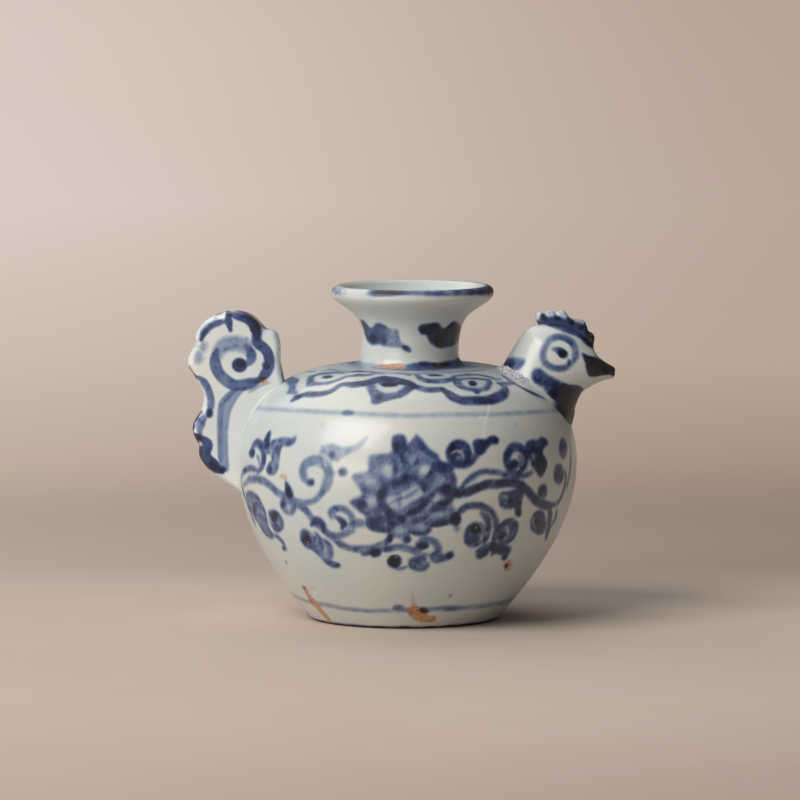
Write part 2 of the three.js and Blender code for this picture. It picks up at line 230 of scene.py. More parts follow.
# Pigment on a painted surface. Across and along place each vertex on it, in units of scale and of one
# millimetre. Place turns points of the picture, in millimetres, into the same two numbers.
class Canvas:
    def __init__(self, across, along, scale, place, turn=None):
        self.across = across
        self.along = along
        self.scale = scale
        self.place = place
        self.turn = turn
        self.strength = 1.0
        self.ink = np.zeros(across.shape)
        self.rust = np.zeros(across.shape)
        self.bare = np.zeros(across.shape)
        self.pale = np.zeros(across.shape)
        self.relief = np.zeros(across.shape)

    # The vertices near a line, and their places from each of its points, in millimetres.
    def near(self, line, reach):
        span = self.across - line[:, 0].mean()
        if self.turn:
            span = (span + self.turn / 2) % self.turn - self.turn / 2
        rel = line[:, 0] - line[:, 0].mean()
        low, high = rel.min() - reach / self.scale, rel.max() + reach / self.scale
        hit = (span > low) & (span < high)
        hit &= (self.along > line[:, 1].min() - reach) & (self.along < line[:, 1].max() + reach)
        scale = self.scale[hit][:, None]
        dx = (rel[None, :] - span[hit][:, None]) * scale
        dy = line[:, 1][None, :] - self.along[hit][:, None]
        return hit, dx, dy

    # How far each near vertex is from a line, and how far along the line it lies, from 0 to 1.
    def distance(self, line, reach):
        hit, dx, dy = self.near(line, reach)
        ax, ay = dx[:, :-1], dy[:, :-1]
        ex, ey = dx[:, 1:] - ax, dy[:, 1:] - ay
        t = np.clip(-(ax * ex + ay * ey) / np.maximum(ex * ex + ey * ey, 1e-9), 0, 1)
        away = np.hypot(ax + t * ex, ay + t * ey)
        best = away.argmin(axis=1)
        row = np.arange(len(best))
        share = (best + t[row, best]) / (len(line) - 1)
        return hit, away[row, best], share

    # Adds pigment where it is darker than what is there, and a little where it is not.
    def add(self, hit, amount):
        old = self.ink[hit]
        amount = amount * self.strength
        self.ink[hit] = np.maximum(old, amount) + CROSSED * np.minimum(old, amount)

    # Lays pigment on vertices: ink runs into what is there, and the rest covers it.
    def lay(self, hit, amount, into):
        if into == "ink":
            self.add(hit, amount)
        else:
            layer = getattr(self, into)
            layer[hit] = np.maximum(layer[hit], amount)

    # Brings a pigment up to an amount wherever there is less of it.
    def cover(self, amount, into="ink"):
        setattr(self, into, np.maximum(getattr(self, into), amount))

    # One stroke of the brush through picture points, with its width and tone. Taper is how much its ends
    # narrow.
    def line(self, points, width=1.4, tone=PLAIN, soft=0.3, taper=0.5, into="ink"):
        path = smooth_line(points)
        width = (1 + BRUSH_SPREAD) * width + BRUSH_BLEED
        hit, away, share = self.distance(self.place(path), width / 2 + soft + 0.2)
        length = max(lengths(path)[-1], 0.1)
        from_end = np.minimum(share, 1 - share) * length
        half = width / 2 * (1 - taper * (1 - smoothstep(0, 1.2 * width, from_end)))
        amount = tone * (1 - smoothstep(half - soft, half + soft, away))
        if into == "ink":
            pooled = 0.92 + POOLING * np.clip(away / np.maximum(half, 0.1), 0, 1) ** 2
            along = share * length
            uneven = np.sin(0.9 * along + len(points)) * np.sin(0.37 * along + 1)
            amount = amount * pooled * (1 + UNEVENNESS * uneven)
        self.lay(hit, amount, into)

    # How far inside a closed outline each near vertex is. Outside counts below zero.
    def inside(self, points, reach):
        loop = np.vstack([points, points[:1]])
        line = self.place(smooth_line(loop, 0.6))
        hit, away, _ = self.distance(line, reach)
        _, dx, dy = self.near(line, reach)
        ax, ay, bx, by = dx[:, :-1], dy[:, :-1], dx[:, 1:], dy[:, 1:]
        crosses = (ay > 0) != (by > 0)
        where = ax - ay * (bx - ax) / np.where(np.abs(by - ay) < 1e-12, 1e-12, by - ay)
        within = (crosses & (where > 0)).sum(axis=1) % 2 == 1
        return hit, np.where(within, away, -away)

    # A filled patch inside picture points, with a tone and another one at its rim.
    def fill(self, points, tone=PLAIN, soft=0.35, into="ink", rim=None):
        hit, depth = self.inside(points, soft + 0.2)
        rim = tone if rim is None else rim
        amount = (tone + (rim - tone) * (1 - smoothstep(0.35, 1.1, depth))) * smoothstep(-soft, soft, depth)
        self.lay(hit, amount, into)

    # Lets the pigment of a grid bleed into the glaze, and gathers it here and there as it does in the fire.
    def bleed(self, passes, grid, seed):
        for _ in range(passes):
            wide = self.ink
            if self.turn:
                wide = (np.roll(wide, 1, axis=1) + 2 * wide + np.roll(wide, -1, axis=1)) / 4
            else:
                wide = np.pad(wide, ((0, 0), (1, 1)), mode="edge")
                wide = (wide[:, :-2] + 2 * wide[:, 1:-1] + wide[:, 2:]) / 4
            tall = np.pad(wide, ((1, 1), (0, 0)), mode="edge")
            self.ink = (tall[:-2] + 2 * tall[1:-1] + tall[2:]) / 4
        gathered = 1 + 0.2 * waves(grid, 4.0, seed) + 0.1 * waves(grid, 1.4, seed + 1)
        self.ink = self.ink * np.clip(gathered, 0.5, 1.6)

    # Takes pigment away inside picture points, as where the brush left the glaze bare.
    def lift(self, points, share=0.7, soft=0.5):
        hit, depth = self.inside(points, soft + 0.2)
        self.ink[hit] *= 1 - share * smoothstep(-soft, soft, depth)

    # An oval blob with its two radii and the way it is turned, in degrees.
    def blob(self, x, z, wide, tall, tone=PLAIN, turned=0, soft=0.35, into="ink"):
        self.fill(oval(x, z, wide, tall, turned), tone, soft, into)

    # What the vertices carry, by pigment.
    def layers(self):
        return {pigment: getattr(self, pigment) for pigment in PIGMENTS}


# The points of an oval, turned by so many degrees.
def oval(x, z, wide, tall, turned=0, count=12):
    turn = np.linspace(0, 2 * math.pi, count, endpoint=False)
    way = math.radians(turned)
    u, v = wide * np.cos(turn), tall * np.sin(turn)
    return np.column_stack([x + u * math.cos(way) - v * math.sin(way),
                            z + u * math.sin(way) + v * math.cos(way)])


# A canvas right round a turned surface.
def turned_canvas(line, turn, place):
    across = np.repeat(turn[None, :], len(line), axis=0)
    along = np.repeat(lengths(line)[:, None], len(turn), axis=1)
    scale = np.repeat(line[:, :1], len(turn), axis=1)
    return Canvas(across, along, scale, place, 2 * math.pi)


# A canvas that is painted straight through the picture, on points of space.
def picture_canvas(points):
    across, along = apparent(points)
    return Canvas(across, along, np.ones(across.shape), lambda drawn: np.asarray(drawn, float))


# Where points of space lie in the picture, in millimetres on the plane of symmetry. The far side counts as
# the near.
def apparent(points):
    near = points.copy()
    near[..., 1] = -np.abs(near[..., 1])
    t = EYE[1] / (EYE[1] - near[..., 1])
    return EYE[0] + t * (near[..., 0] - EYE[0]), EYE[2] + t * (near[..., 2] - EYE[2])


# Throws picture points on to a turned surface with the given line of radius and height. It leans, and is
# set over. The answer is the turn about the axis and the length along the line.
def thrower(line, lean, offset=0.0, base=0.0):
    along = lengths(line)
    order = np.argsort(line[:, 1])
    level, radius, reached = line[order, 1], line[order, 0], along[order]

    def place(points):
        points = np.asarray(points, float)
        deep = np.linspace(-BELLY_RADIUS - 2, 4, 500)
        t = (deep - EYE[1]) / -EYE[1]
        x = EYE[0] + t[None, :] * (points[:, :1] - EYE[0])
        z = EYE[2] + t[None, :] * (points[:, 1:2] - EYE[2])
        out = x - offset - lean * (z - base)
        gap = np.hypot(out, deep[None, :]) - np.interp(z, level, radius, right=0.0)
        hit = np.where((gap < 0).any(axis=1), (gap < 0).argmax(axis=1), gap.argmin(axis=1))
        row = np.arange(len(points))
        turn = np.unwrap(np.arctan2(deep[hit], out[row, hit]))
        return np.column_stack([turn, np.interp(z[row, hit], level, reached)])

    return place


# A node of a material, with its settings and what feeds its sockets.
def node(tree, kind, feeds=None, **settings):
    made_node = tree.nodes.new(kind)
    for key, value in settings.items():
        setattr(made_node, key, value)
    for socket, value in (feeds or {}).items():
        if isinstance(value, bpy.types.NodeSocket):
            tree.links.new(value, made_node.inputs[socket])
        else:
            made_node.inputs[socket].default_value = value
    return made_node


# A colour as it looks on a screen, from 0 to 255, as Blender's linear one.
def shade(red, green, blue):
    linear = []
    for value in (red, green, blue):
        value /= 255
        linear.append(value / 12.92 if value <= 0.04045 else ((value + 0.055) / 1.055) ** 2.4)
    return (*linear, 1.0)


# A new empty material and its tree, with the place on the object.
def empty_material(name):
    material = bpy.data.materials.new(name)
    material.use_nodes = True
    tree = material.node_tree
    tree.nodes.clear()
    place = node(tree, "ShaderNodeTexCoord").outputs["Object"]
    return material, tree, place


# A ramp of colours at places from 0 to 1.
def ramp(tree, feed, stops):
    made_node = node(tree, "ShaderNodeValToRGB", {"Fac": feed})
    marks = made_node.color_ramp.elements
    while len(marks) > 1:
        marks.remove(marks[-1])
    marks[0].position, marks[0].color = stops[0]
    for position, colour in stops[1:]:
        marks.new(position).color = colour
    return made_node.outputs["Color"]


# Smooth random values from 0 to 1 over the object.
def noise(tree, place, scale, detail=3.0, rough=0.5):
    feeds = {"Vector": place, "Scale": scale, "Detail": detail, "Roughness": rough}
    return node(tree, "ShaderNodeTexNoise", feeds).outputs["Fac"]


# One step of arithmetic in a material.
def maths(tree, operation, a, b=0.5, c=0.5):
    return node(tree, "ShaderNodeMath", {0: a, 1: b, 2: c}, operation=operation).outputs["Value"]


# A share of the way from one colour to another.
def mixed(tree, share, a, b, blend="MIX"):
    made_node = node(tree, "ShaderNodeMix", {0: share, 6: a, 7: b}, data_type="RGBA", blend_type=blend)
    return made_node.outputs[2]


# The share of the way from low to high, from 0 to 1.
def between(tree, value, low, high):
    feeds = {"Value": value, "From Min": low, "From Max": high}
    return node(tree, "ShaderNodeMapRange", feeds, interpolation_type="SMOOTHSTEP").outputs["Result"]


# What the vertices carry under a name.
def attribute(tree, name):
    return node(tree, "ShaderNodeAttribute", attribute_name=name).outputs["Fac"]


# The glaze and its cooler clouds, the bare clay in two tones, and the same of the tail and of the slip,
# from 0 to 255. The tail's glaze is a lighter copy of the pot's: painted light.
GLAZE = (214, 216, 209)
COOL_GLAZE = (203, 211, 209)
BISCUIT = ((220, 196, 172), (194, 160, 128))
TAIL_GLAZE = (232, 234, 228)
TAIL_COOL_GLAZE = (222, 230, 228)
SLIP_BISCUIT = ((236, 233, 238), (150, 146, 156))
ROUGHNESS = 0.27


# The glaze, with cooler clouds and fine dark flecks.
def glaze_colour(tree, place, glaze, cool):
    clouds = noise(tree, place, 45.0, 3.0)
    skin = mixed(tree, between(tree, clouds, 0.35, 0.65), shade(*glaze), shade(*cool))
    fleck = between(tree, noise(tree, place, 900.0, 1.0), 0.76, 0.82)
    return mixed(tree, maths(tree, "MULTIPLY", fleck, 0.5), skin, shade(120, 110, 95))


# The tint that cobalt gives the glaze over it. It is grainy, and heaped here and there.
def cobalt_tint(tree, ink, grain, heap):
    grained = maths(tree, "MULTIPLY", ink, maths(tree, "MULTIPLY_ADD", grain, 0.24, 0.88))
    heaped = maths(tree, "MULTIPLY", between(tree, heap, 0.56, 0.72), 0.45)
    dense = maths(tree, "MULTIPLY", maths(tree, "MULTIPLY_ADD", grained, heaped, grained), 1 / 3)
    return ramp(tree, dense, [
        (0.0, shade(255, 255, 255)),
        (0.07, shade(214, 222, 236)),
        (0.18, shade(152, 169, 205)),
        (0.33, shade(90, 108, 160)),
        (0.5, shade(56, 69, 118)),
        (0.72, shade(38, 43, 72)),
        (1.0, shade(28, 27, 38)),
    ])


# Rust, which is burnt to a dark brown where there is ink as well.
def rust_colour(tree, ink, grain):
    rusty = mixed(tree, between(tree, grain, 0.35, 0.7), shade(214, 158, 108), shade(156, 98, 58))
    burnt = mixed(tree, between(tree, grain, 0.54, 0.68), shade(31, 28, 28), shade(112, 86, 58))
    return mixed(tree, between(tree, ink, 0.3, 1.2), rusty, burnt)


# Glazed porcelain, with the cobalt, the rust and the unglazed places that its vertices carry.
def porcelain(name, glaze=GLAZE, cool=COOL_GLAZE, biscuit=BISCUIT):
    material, tree, place = empty_material(name)
    ink, rust, bare, pale = (attribute(tree, pigment) for pigment in PIGMENTS)
    grain = noise(tree, place, 1500.0, 4.0, 0.6)
    heap = noise(tree, place, 420.0, 2.0)
    skin = glaze_colour(tree, place, glaze, cool)
    colour = mixed(tree, 1.0, skin, cobalt_tint(tree, ink, grain, heap), "MULTIPLY")
    # Pale whitens the glaze: its cracks and chips, and painted glints on the ink.
    colour = mixed(tree, pale, colour, shade(238, 238, 230))
    clay = mixed(tree, between(tree, grain, 0.35, 0.65), shade(*biscuit[0]), shade(*biscuit[1]))
    colour = mixed(tree, bare, colour, clay)
    colour = mixed(tree, rust, colour, rust_colour(tree, ink, grain))
    rough = maths(tree, "MULTIPLY_ADD", maths(tree, "MAXIMUM", bare, rust), 0.45, ROUGHNESS)
    rough = maths(tree, "MULTIPLY_ADD", heap, 0.08, rough)
    skinned = noise(tree, place, 260.0, 2.0)
    pits = noise(tree, place, 1800.0, 2.0)
    lifted = maths(tree, "MULTIPLY_ADD", maths(tree, "MULTIPLY", pits, bare), 1.5, skinned)
    feeds = {"Height": lifted, "Strength": 0.12, "Distance": 0.0004}
    bump = node(tree, "ShaderNodeBump", feeds).outputs["Normal"]
    feeds = {"Base Color": colour, "Roughness": rough, "Normal": bump, "IOR": 1.5, "Coat Weight": 0.25,
             "Coat Roughness": 0.12}
    surface = node(tree, "ShaderNodeBsdfPrincipled", feeds)
    node(tree, "ShaderNodeOutputMaterial", {"Surface": surface.outputs["BSDF"]})
    return material


# The outside of the pot, from the foot up to the neck's seat.
POT_LINE = np.vstack([
    evenly([(FOOT_RADIUS - FOOT_CHAMFER, 0.0), (FOOT_RADIUS, FOOT_CHAMFER)], 0.5),
    evenly(bezier(BOWL_HANDLES, 60), ROW_STEP)[1:],
    evenly(bezier(SHOULDER_HANDLES, 60), ROW_STEP)[1:],
])
BELLY_ROW = int(np.abs(POT_LINE[:, 1] - BELLY_HEIGHT).argmin())


# A turned surface: a grid of points with a row for each point of the line, about an axis that leans.
def turned_grid(line, columns, lean, offset=0.0, base=0.0):
    turn = np.linspace(-math.pi, math.pi, columns, endpoint=False)
    x = line[:, :1] * np.cos(turn) + offset + lean * (line[:, 1:] - base)
    y = line[:, :1] * np.sin(turn)
    z = np.repeat(line[:, 1:], columns, axis=1)
    return turn, np.stack([x, y, z], axis=-1)


# The ways out of a line of radius and height that goes up, one millimetre long.
def outward(line):
    ahead = np.gradient(line, axis=0)
    return np.column_stack([ahead[:, 1], -ahead[:, 0]]) / np.linalg.norm(ahead, axis=1)[:, None]


# Moves the points of a turned grid in towards the axis by a depth, so the CAD's size is kept.
def pressed_in(grid, depth):
    middle = grid.mean(axis=1, keepdims=True)
    out = grid - middle
    out[..., 2] = 0
    size = np.maximum(np.linalg.norm(out, axis=-1, keepdims=True), 1e-6)
    return grid - out / size * np.minimum(depth[..., None], size)


# The slight unevenness of a hand-made wall, in from its true line.
def hand_made(grid, seed, deep=0.22):
    slow = 0.5 + 0.25 * waves(grid, 38.0, seed)
    fine = 0.5 + 0.25 * waves(grid, 9.0, seed + 1)
    return deep * np.clip(0.8 * slow + 0.2 * fine, 0, 1)


# Draws strokes, each with its picture points, width and tone.
def strokes(canvas, rows):
    for points, width, tone in rows:
        canvas.line(points, width, tone)


# Fills leaves, each with its picture points, tone and the tone of its edge.
def leaves(canvas, rows):
    for points, tone, rim in rows:
        canvas.fill(points, tone, rim=rim)


# Lifts ovals by one share, each with its place, two radii and turn in degrees.
def lifts(canvas, share, rows):
    for x, z, wide, tall, turned in rows:
        canvas.lift(oval(x, z, wide, tall, turned), share, 0.3)


# Sets blobs, each with its place, two radii and tone.
def blobs(canvas, rows):
    for x, z, wide, tall, tone in rows:
        canvas.blob(x, z, wide, tall, tone)


# The open bloom in the middle, with a bud in its heart. Its petals are washes that pale towards their
# middles, and some of the pale spots lifted from them are painted highlights.
def paint_bloom(canvas):
    bloom = [(-3.2, 45.2), (-3.3, 47.5), (-2.6, 48.9), (-1.2, 49.3), (0, 48.8), (0.7, 47.1), (1.4, 46.7),
             (2.4, 48.3), (3.1, 49.2), (3.9, 48.3), (5, 46.1), (7, 44.6), (8.7, 43.6), (9.9, 42),
             (12.4, 41.2), (13.2, 38.9), (13.2, 36.5), (14.4, 35), (15.4, 33.2), (13.6, 32.2), (12.8, 30.6),
             (14, 28.7), (14.6, 27.3), (13.6, 25.3), (9.7, 25.3),
             (7.4, 24.8), (7, 23.4), (5, 22.6), (2.7, 23.2), (1.5, 22.4), (1.3, 20.8), (0, 19.9),
             (-1.2, 21.2), (-3.2, 21.4), (-4.2, 19.9), (-4.9, 21.6), (-4.3, 23), (-7.1, 23), (-10, 24.2),
             (-10.4, 25.9), (-10.6, 27.7), (-12.5, 29.5), (-14.7, 31), (-13.3, 32.1), (-11.6, 33),
             (-11.6, 34.4), (-12.9, 35.9), (-14.1, 38.1), (-12.2, 38.8), (-9.7, 39.6), (-9.7, 41.6),
             (-9.4, 43.6), (-7.1, 43.9), (-4.3, 44.2)]
    canvas.fill(bloom, 0.8, 0.5)
    # Pale spots lifted from the washes; some of them are painted highlights.
    pale = [(-4.3, 39.5, 1.7, 1.9, 30, 0.8), (-9, 36.7, 1.8, 1.2, 0, 0.65), (-8.6, 31.3, 1.7, 1.6, 0, 0.65),
            (5.4, 39.7, 1.8, 1.4, 30, 0.85), (2.5, 42, 1, 2, -10, 0.55),
            (8.5, 32, 0.9, 1.5, -20, 0.8), (9.7, 27.7, 2.8, 0.6, 4, 0.7),
            (4.2, 24.8, 1.6, 0.8, 10, 0.6), (-1.2, 23.4, 1.8, 0.9, 0, 0.6), (9.9, 37.3, 1.3, 0.9, 0, 0.35),
            (1.1, 23.2, 0.8, 0.5, 0, 0.5), (-12, 36.9, 0.9, 0.5, 30, 0.4)]
    for x, z, wide, tall, turned, share in pale:
        canvas.lift(oval(x, z, wide, tall, turned), share, 0.9)
    canvas.lift([(-5.7, 30.6), (-4.3, 32.6), (-1.6, 33.6), (1.9, 35.5), (4.2, 36.3), (5.2, 35), (5, 32.6),
                 (1.9, 30.6), (-0.4, 29.2), (-3.2, 29.1), (-4.9, 29.5)], 0.74, 0.8)
    strokes(canvas, [
        ([(0.7, 37.8), (-2.4, 36.5), (-4.9, 35.3), (-6.2, 33.4), (-6.1, 31), (-4.9, 29.1), (-3.2, 27.7),
          (-0.8, 26.9)], 1.6, 1.5),
        ([(0.7, 37.9), (3.5, 36.9), (5.4, 35.2), (6.1, 32.6), (5.2, 30.4), (3.1, 28.7),
          (0.3, 27.5)], 1.2, 1.35),
        ([(-0.2, 29.1), (1.1, 30.2), (3.5, 31.2), (5.3, 32.6)], 0.5, 1.4),
        ([(1.1, 28.2), (3.9, 29.3), (5.8, 31)], 0.9, 1.2),
        ([(-3.2, 32.8), (-1.2, 33.6), (1.5, 35.2), (3.5, 36.2)], 0.6, 0.9),
        ([(-2.4, 36.4), (0.4, 36.6), (3.2, 36.8)], 0.9, 1.2),
        ([(-4.6, 30.4), (-2.4, 31.6), (0.6, 32.6), (3.6, 34.6)], 0.4, 0.75),
        ([(-0.8, 29.4), (-1.6, 31.2), (-1.2, 33.4)], 0.5, 0.6),
        ([(0.3, 38.1), (-0.1, 40.4), (-0.4, 42.8), (-1.6, 44.4)], 0.9, 1.0),
        ([(0.5, 38.5), (1.7, 40.3), (3.1, 41.8), (3.9, 43.6)], 0.6, 0.95),
        ([(-2.8, 36.9), (-2.5, 38.9), (-2.3, 41.2), (-2.8, 43.2)], 1.0, 0.9),
        ([(4.6, 36.9), (6.2, 37.9), (7.4, 39.3), (7.8, 40.8)], 0.9, 1.15),
        ([(-6.5, 38.3), (-8.3, 38.9), (-9.7, 39.6)], 0.8, 0.85),
        ([(-6.5, 34.2), (-9, 34.1), (-11.6, 34.3)], 0.9, 0.9),
        ([(-5.1, 28.5), (-7.9, 28.4), (-10.6, 27.8)], 1.0, 0.95),
        ([(-14.5, 31), (-12.9, 29.7), (-10.6, 28.1)], 0.7, 1.1),
        ([(-4.3, 22.8), (-3.6, 24.4), (-2.6, 25.3)], 0.9, 1.4),
        ([(1.5, 23.4), (3.3, 22.6), (5.4, 22.7), (7, 23.6)], 0.9, 1.4),
        ([(1.3, 24.6), (3.5, 26.2), (6.6, 27.3)], 0.8, 1.1),
        ([(7, 26.2), (9.1, 26.1), (12.4, 27.5)], 0.6, 1.1),
        ([(6.6, 28.5), (9.1, 29.3), (12.4, 29)], 0.7, 1.15),
        ([(7.4, 24.8), (9.7, 25.3), (13.2, 26.1)], 1.0, 2.3),
        ([(12.6, 39.3), (13.2, 37.3), (13.7, 35.3)], 1.1, 1.3),
        ([(7, 32.6), (8.2, 33.9), (10.7, 35.2)], 0.8, 1.2),
        ([(7, 29.3), (9.7, 30.6), (13, 31.8)], 1.2, 1.4),
        ([(3.2, 48.8), (4.4, 47), (6.1, 44.8), (8.2, 43.4), (9.4, 41.9)], 1.2, 1.25),
        ([(2.3, 47.8), (1.4, 46.3), (0.8, 44.4)], 0.8, 0.95),
    ])
    leaves(canvas, [
        ([(-3.2, 45), (-3.2, 48.2), (-2.2, 49.1), (-0.4, 49), (0.4, 47.7), (0.3, 44.8), (-0.8, 43.6),
          (-2.6, 43.9)], 1.15, 1.35),
        ([(7.4, 41.6), (9.9, 41.9), (12.8, 41.2), (13.1, 39.4), (9.9, 38.9), (7.4, 39.7)], 1.5, 1.35),
        ([(9.8, 35), (12.5, 35.9), (15.4, 33.1), (13.2, 32.1), (10.6, 32.5)], 1.75, 1.5),
        ([(-10.4, 26.9), (-7.1, 27.4), (-4.3, 26.8), (-3.7, 24.8), (-4.3, 23), (-7.1, 23),
          (-9.9, 24.1)], 1.1, 1.2),
    ])
    blobs(canvas, [(-2, 45.9, 0.8, 1.6, 2.2), (0.3, 37.9, 1, 0.8, 1.6), (-11.6, 30.4, 1.2, 1.3, 1.6),
                   (-3.8, 21.4, 0.5, 1.2, 2.0), (0.8, 21, 0.9, 0.9, 1.8), (-0.8, 26.5, 1.1, 0.9, 2.4),
                   (-3, 25.3, 1.7, 0.5, 1.7), (13.8, 26.4, 1.3, 1.6, 2.7),
                   (14, 23.9, 0.6, 0.9, 0.45), (6.3, 23.4, 0.5, 0.5, 1.9), (7.4, 33, 0.7, 0.6, 1.6),
                   (-8.3, 25.3, 1.2, 0.6, 1.5), (3.9, 28.5, 1.2, 0.4, 1.5), (5, 36.5, 0.7, 0.5, 1.3)])


# Small random specks of pigment in a box of the picture.
def speckle(canvas, seed, count, across, up, tone):
    rng = np.random.default_rng(seed)
    for _ in range(count):
        size = rng.uniform(0.2, 0.45)
        canvas.blob(rng.uniform(*across), rng.uniform(*up), size, size, tone * rng.uniform(0.5, 1), 0, 0.25)


# The scroll to the left of the bloom: a main stem, curls and leaves.
def paint_left_scroll(canvas):
    leaves(canvas, [
        ([(-38.3, 46.5), (-37.4, 48.6), (-36.2, 50.4), (-35.9, 49.5), (-36.2, 47.6), (-36.6, 45.8),
          (-37.4, 45.4)],
         1.2, 1.4),
        ([(-36.6, 47), (-34.7, 48), (-32, 48.5), (-30.4, 48.2), (-29.3, 48.9), (-29.1, 48.4), (-29.6, 47),
          (-31.2, 46.2), (-32.8, 46.1), (-33.5, 44.3), (-33.7, 42.2), (-34.1, 39.8), (-35.2, 38.4),
          (-36.6, 38.7), (-37.1, 39.8), (-36.6, 41.4), (-35.7, 42.2), (-36, 43.8), (-37.1, 44.6)], 0.85, 1.3),
        ([(-22.9, 44.6), (-21.3, 46.5), (-19.2, 46.8), (-17, 45.8), (-14.9, 46.1), (-12.7, 47), (-9.9, 48.9),
          (-10.6, 47), (-12.7, 45.1), (-14.9, 44.3), (-16.5, 43.3), (-18.1, 42.2), (-19.7, 42.2),
          (-20.5, 43.3)],
         0.4, 0.5),
        ([(-32.1, 37.1), (-31.5, 36.3), (-30.4, 34.6), (-29.9, 33), (-30.7, 32.2), (-31.8, 32.8),
          (-32.1, 34.6)],
         1.4, 1.6),
        ([(-33.5, 31.7), (-32.8, 32.2), (-31.5, 31.4), (-29.6, 30.6), (-29.2, 29), (-30.2, 27.6),
          (-31.8, 27.9), (-33.1, 29.3)], 0.6, 1.1),
        ([(-42.7, 33.6), (-41.1, 33.9), (-39.3, 32.5), (-37.9, 29.8), (-37.1, 27.1), (-36.6, 24.4),
          (-35.2, 22), (-36, 21.2), (-37.7, 22.5), (-39.3, 25.2), (-40.9, 27.9), (-42.1, 30.9)], 1.0, 1.6),
        ([(-36.6, 28.5), (-35.2, 29), (-33.6, 27.9), (-32.6, 25.8), (-32.8, 23.9), (-34.1, 22.8),
          (-35.2, 23.6), (-36.2, 25.8)], 1.05, 1.5),
        ([(-28, 22.8), (-27.2, 23.8), (-25.9, 23.3), (-24.5, 22.3), (-23.7, 21.2), (-24.3, 19), (-25.9, 18.5),
          (-27.2, 19.6), (-28, 20.9)], 1.3, 1.5),
        ([(-25.9, 18.9), (-24, 17.4), (-22.4, 15.8), (-20.8, 14.2), (-18.9, 13.2), (-17.3, 13.9),
          (-18.1, 14.7), (-19.7, 15.3), (-19.2, 16.9), (-19.4, 19), (-20.5, 20.4), (-21.8, 21.2),
          (-22.9, 21.2), (-23.7, 19.8)],
         0.75, 1.25),
    ])
    lifts(canvas, 0.6, [(-35.4, 41.1, 0.3, 1.1, 0), (-31.1, 29.7, 0.5, 0.9, 0), (-24.9, 22.1, 0.9, 0.5, -40),
                        (-21.3, 18.4, 0.4, 1.6, 15), (-35.9, 44.2, 0.25, 1.2, -10),
                        (-39.8, 29.8, 0.3, 2.2, 24)])
    strokes(canvas, [
        ([(-41.1, 44.3), (-40.9, 45.8), (-40.3, 46.8), (-39.3, 47), (-38.2, 45.8), (-37.8, 43.8), (-38, 41.6),
          (-38.7, 40), (-39.5, 39.2)], 1.7, 1.45),
        ([(-39.7, 43.6), (-39, 42.4), (-39.2, 40.9)], 0.5, 1.2),
        ([(-39.3, 39.4), (-40.3, 40), (-41.9, 40.1), (-43.3, 39.2), (-43.9, 37.6), (-43.8, 36.3),
          (-43.4, 34.1), (-42.5, 31.4), (-41.4, 28.2), (-40.2, 25)], 1.1, 1.6),
        ([(-43.2, 35.6), (-42.7, 36.3), (-41.7, 37.1), (-40.1, 37.3), (-38.2, 36.9), (-36.3, 35.7),
          (-34.7, 34.1), (-32.8, 32.8), (-31, 32.2), (-28.8, 30.6), (-26.9, 29.3), (-25.6, 27.6),
          (-24, 25.5), (-22.4, 24.1), (-20.8, 22.8), (-18.9, 21.2), (-16.5, 19.3), (-13.8, 18.5),
          (-11.1, 18.4), (-8.4, 18.6), (-5.8, 19.6), (-4.2, 21)], 1.6, 1.05),
        ([(-32, 32.2), (-29.3, 31.4), (-26.7, 30.9), (-24.5, 31.4), (-22.4, 33.3), (-20.9, 35.7)], 1.2, 0.85),
        ([(-22.6, 33), (-20.9, 35.7), (-20.2, 38.1), (-20.7, 40.2), (-21.9, 41.7), (-23.7, 42.3), (-25.6, 42),
          (-26.9, 40.8), (-27.3, 39), (-26.6, 37.2), (-25.1, 36.2)], 2.1, 0.78),
        ([(-22.6, 34.6), (-21.9, 36.6), (-21.8, 38.4)], 0.4, 0.5),
        ([(-19.7, 42.6), (-20.1, 40.4), (-20.3, 38.6)], 0.7, 0.45),
        ([(-20.2, 38.5), (-18.5, 39.1)], 0.8, 0.45),
        ([(-35.6, 22.4), (-33.8, 21.4), (-32.7, 20), (-32.2, 18.8)], 1.1, 1.3),
        ([(-25, 24.9), (-23.7, 26.2), (-22.2, 25.3), (-21.6, 23)], 1.4, 2.1),
        ([(-19.6, 26.6), (-19.8, 28.2), (-18.7, 29.2), (-17, 29.3), (-15.3, 28.6), (-14.2, 27.1), (-14, 24.9),
          (-14.9, 23.3), (-16.5, 22.4), (-18.6, 22), (-20.6, 22.4)], 1.4, 0.95),
        ([(-18.6, 27.1), (-17.2, 26.3), (-16.2, 25.2), (-16.8, 24)], 1.3, 1.9),
        ([(-14.2, 24.9), (-12, 25.4), (-9.8, 25.4)], 2.2, 0.95),
        ([(-13.9, 26.6), (-13.5, 24.8), (-13.8, 23)], 1.1, 0.8),
        ([(-24.1, 23), (-23, 21.6), (-22.2, 19.8), (-22.2, 18)], 0.7, 1.4),
    ])
    blobs(canvas, [(-41, 44.3, 0.8, 1.2, 1.9), (-37, 47, 0.6, 1.3, 2.0), (-36.3, 39.8, 0.7, 1.0, 2.1),
                   (-31.4, 34.4, 0.7, 1.3, 2.1), (-32.8, 30.4, 0.6, 1.1, 1.9), (-25.2, 36.4, 1.0, 0.9, 1.6),
                   (-19.4, 43.8, 0.9, 1.1, 0.9), (-16.5, 39.2, 1.2, 1.2, 1.15), (-32.4, 18.6, 0.6, 0.6, 1.9),
                   (-18, 13.9, 0.6, 0.6, 2.4), (-10.6, 17.2, 1.2, 0.7, 1.4), (-7.9, 17.5, 1.3, 1.3, 1.8),
                   (-35.1, 27, 0.9, 1.4, 2.3), (-40.2, 29.6, 0.6, 1.5, 2.2), (-26.4, 21, 1.1, 1.3, 2.4)])
    speckle(canvas, 17, 26, (-23.5, -14.5), (42.2, 47), 0.75)


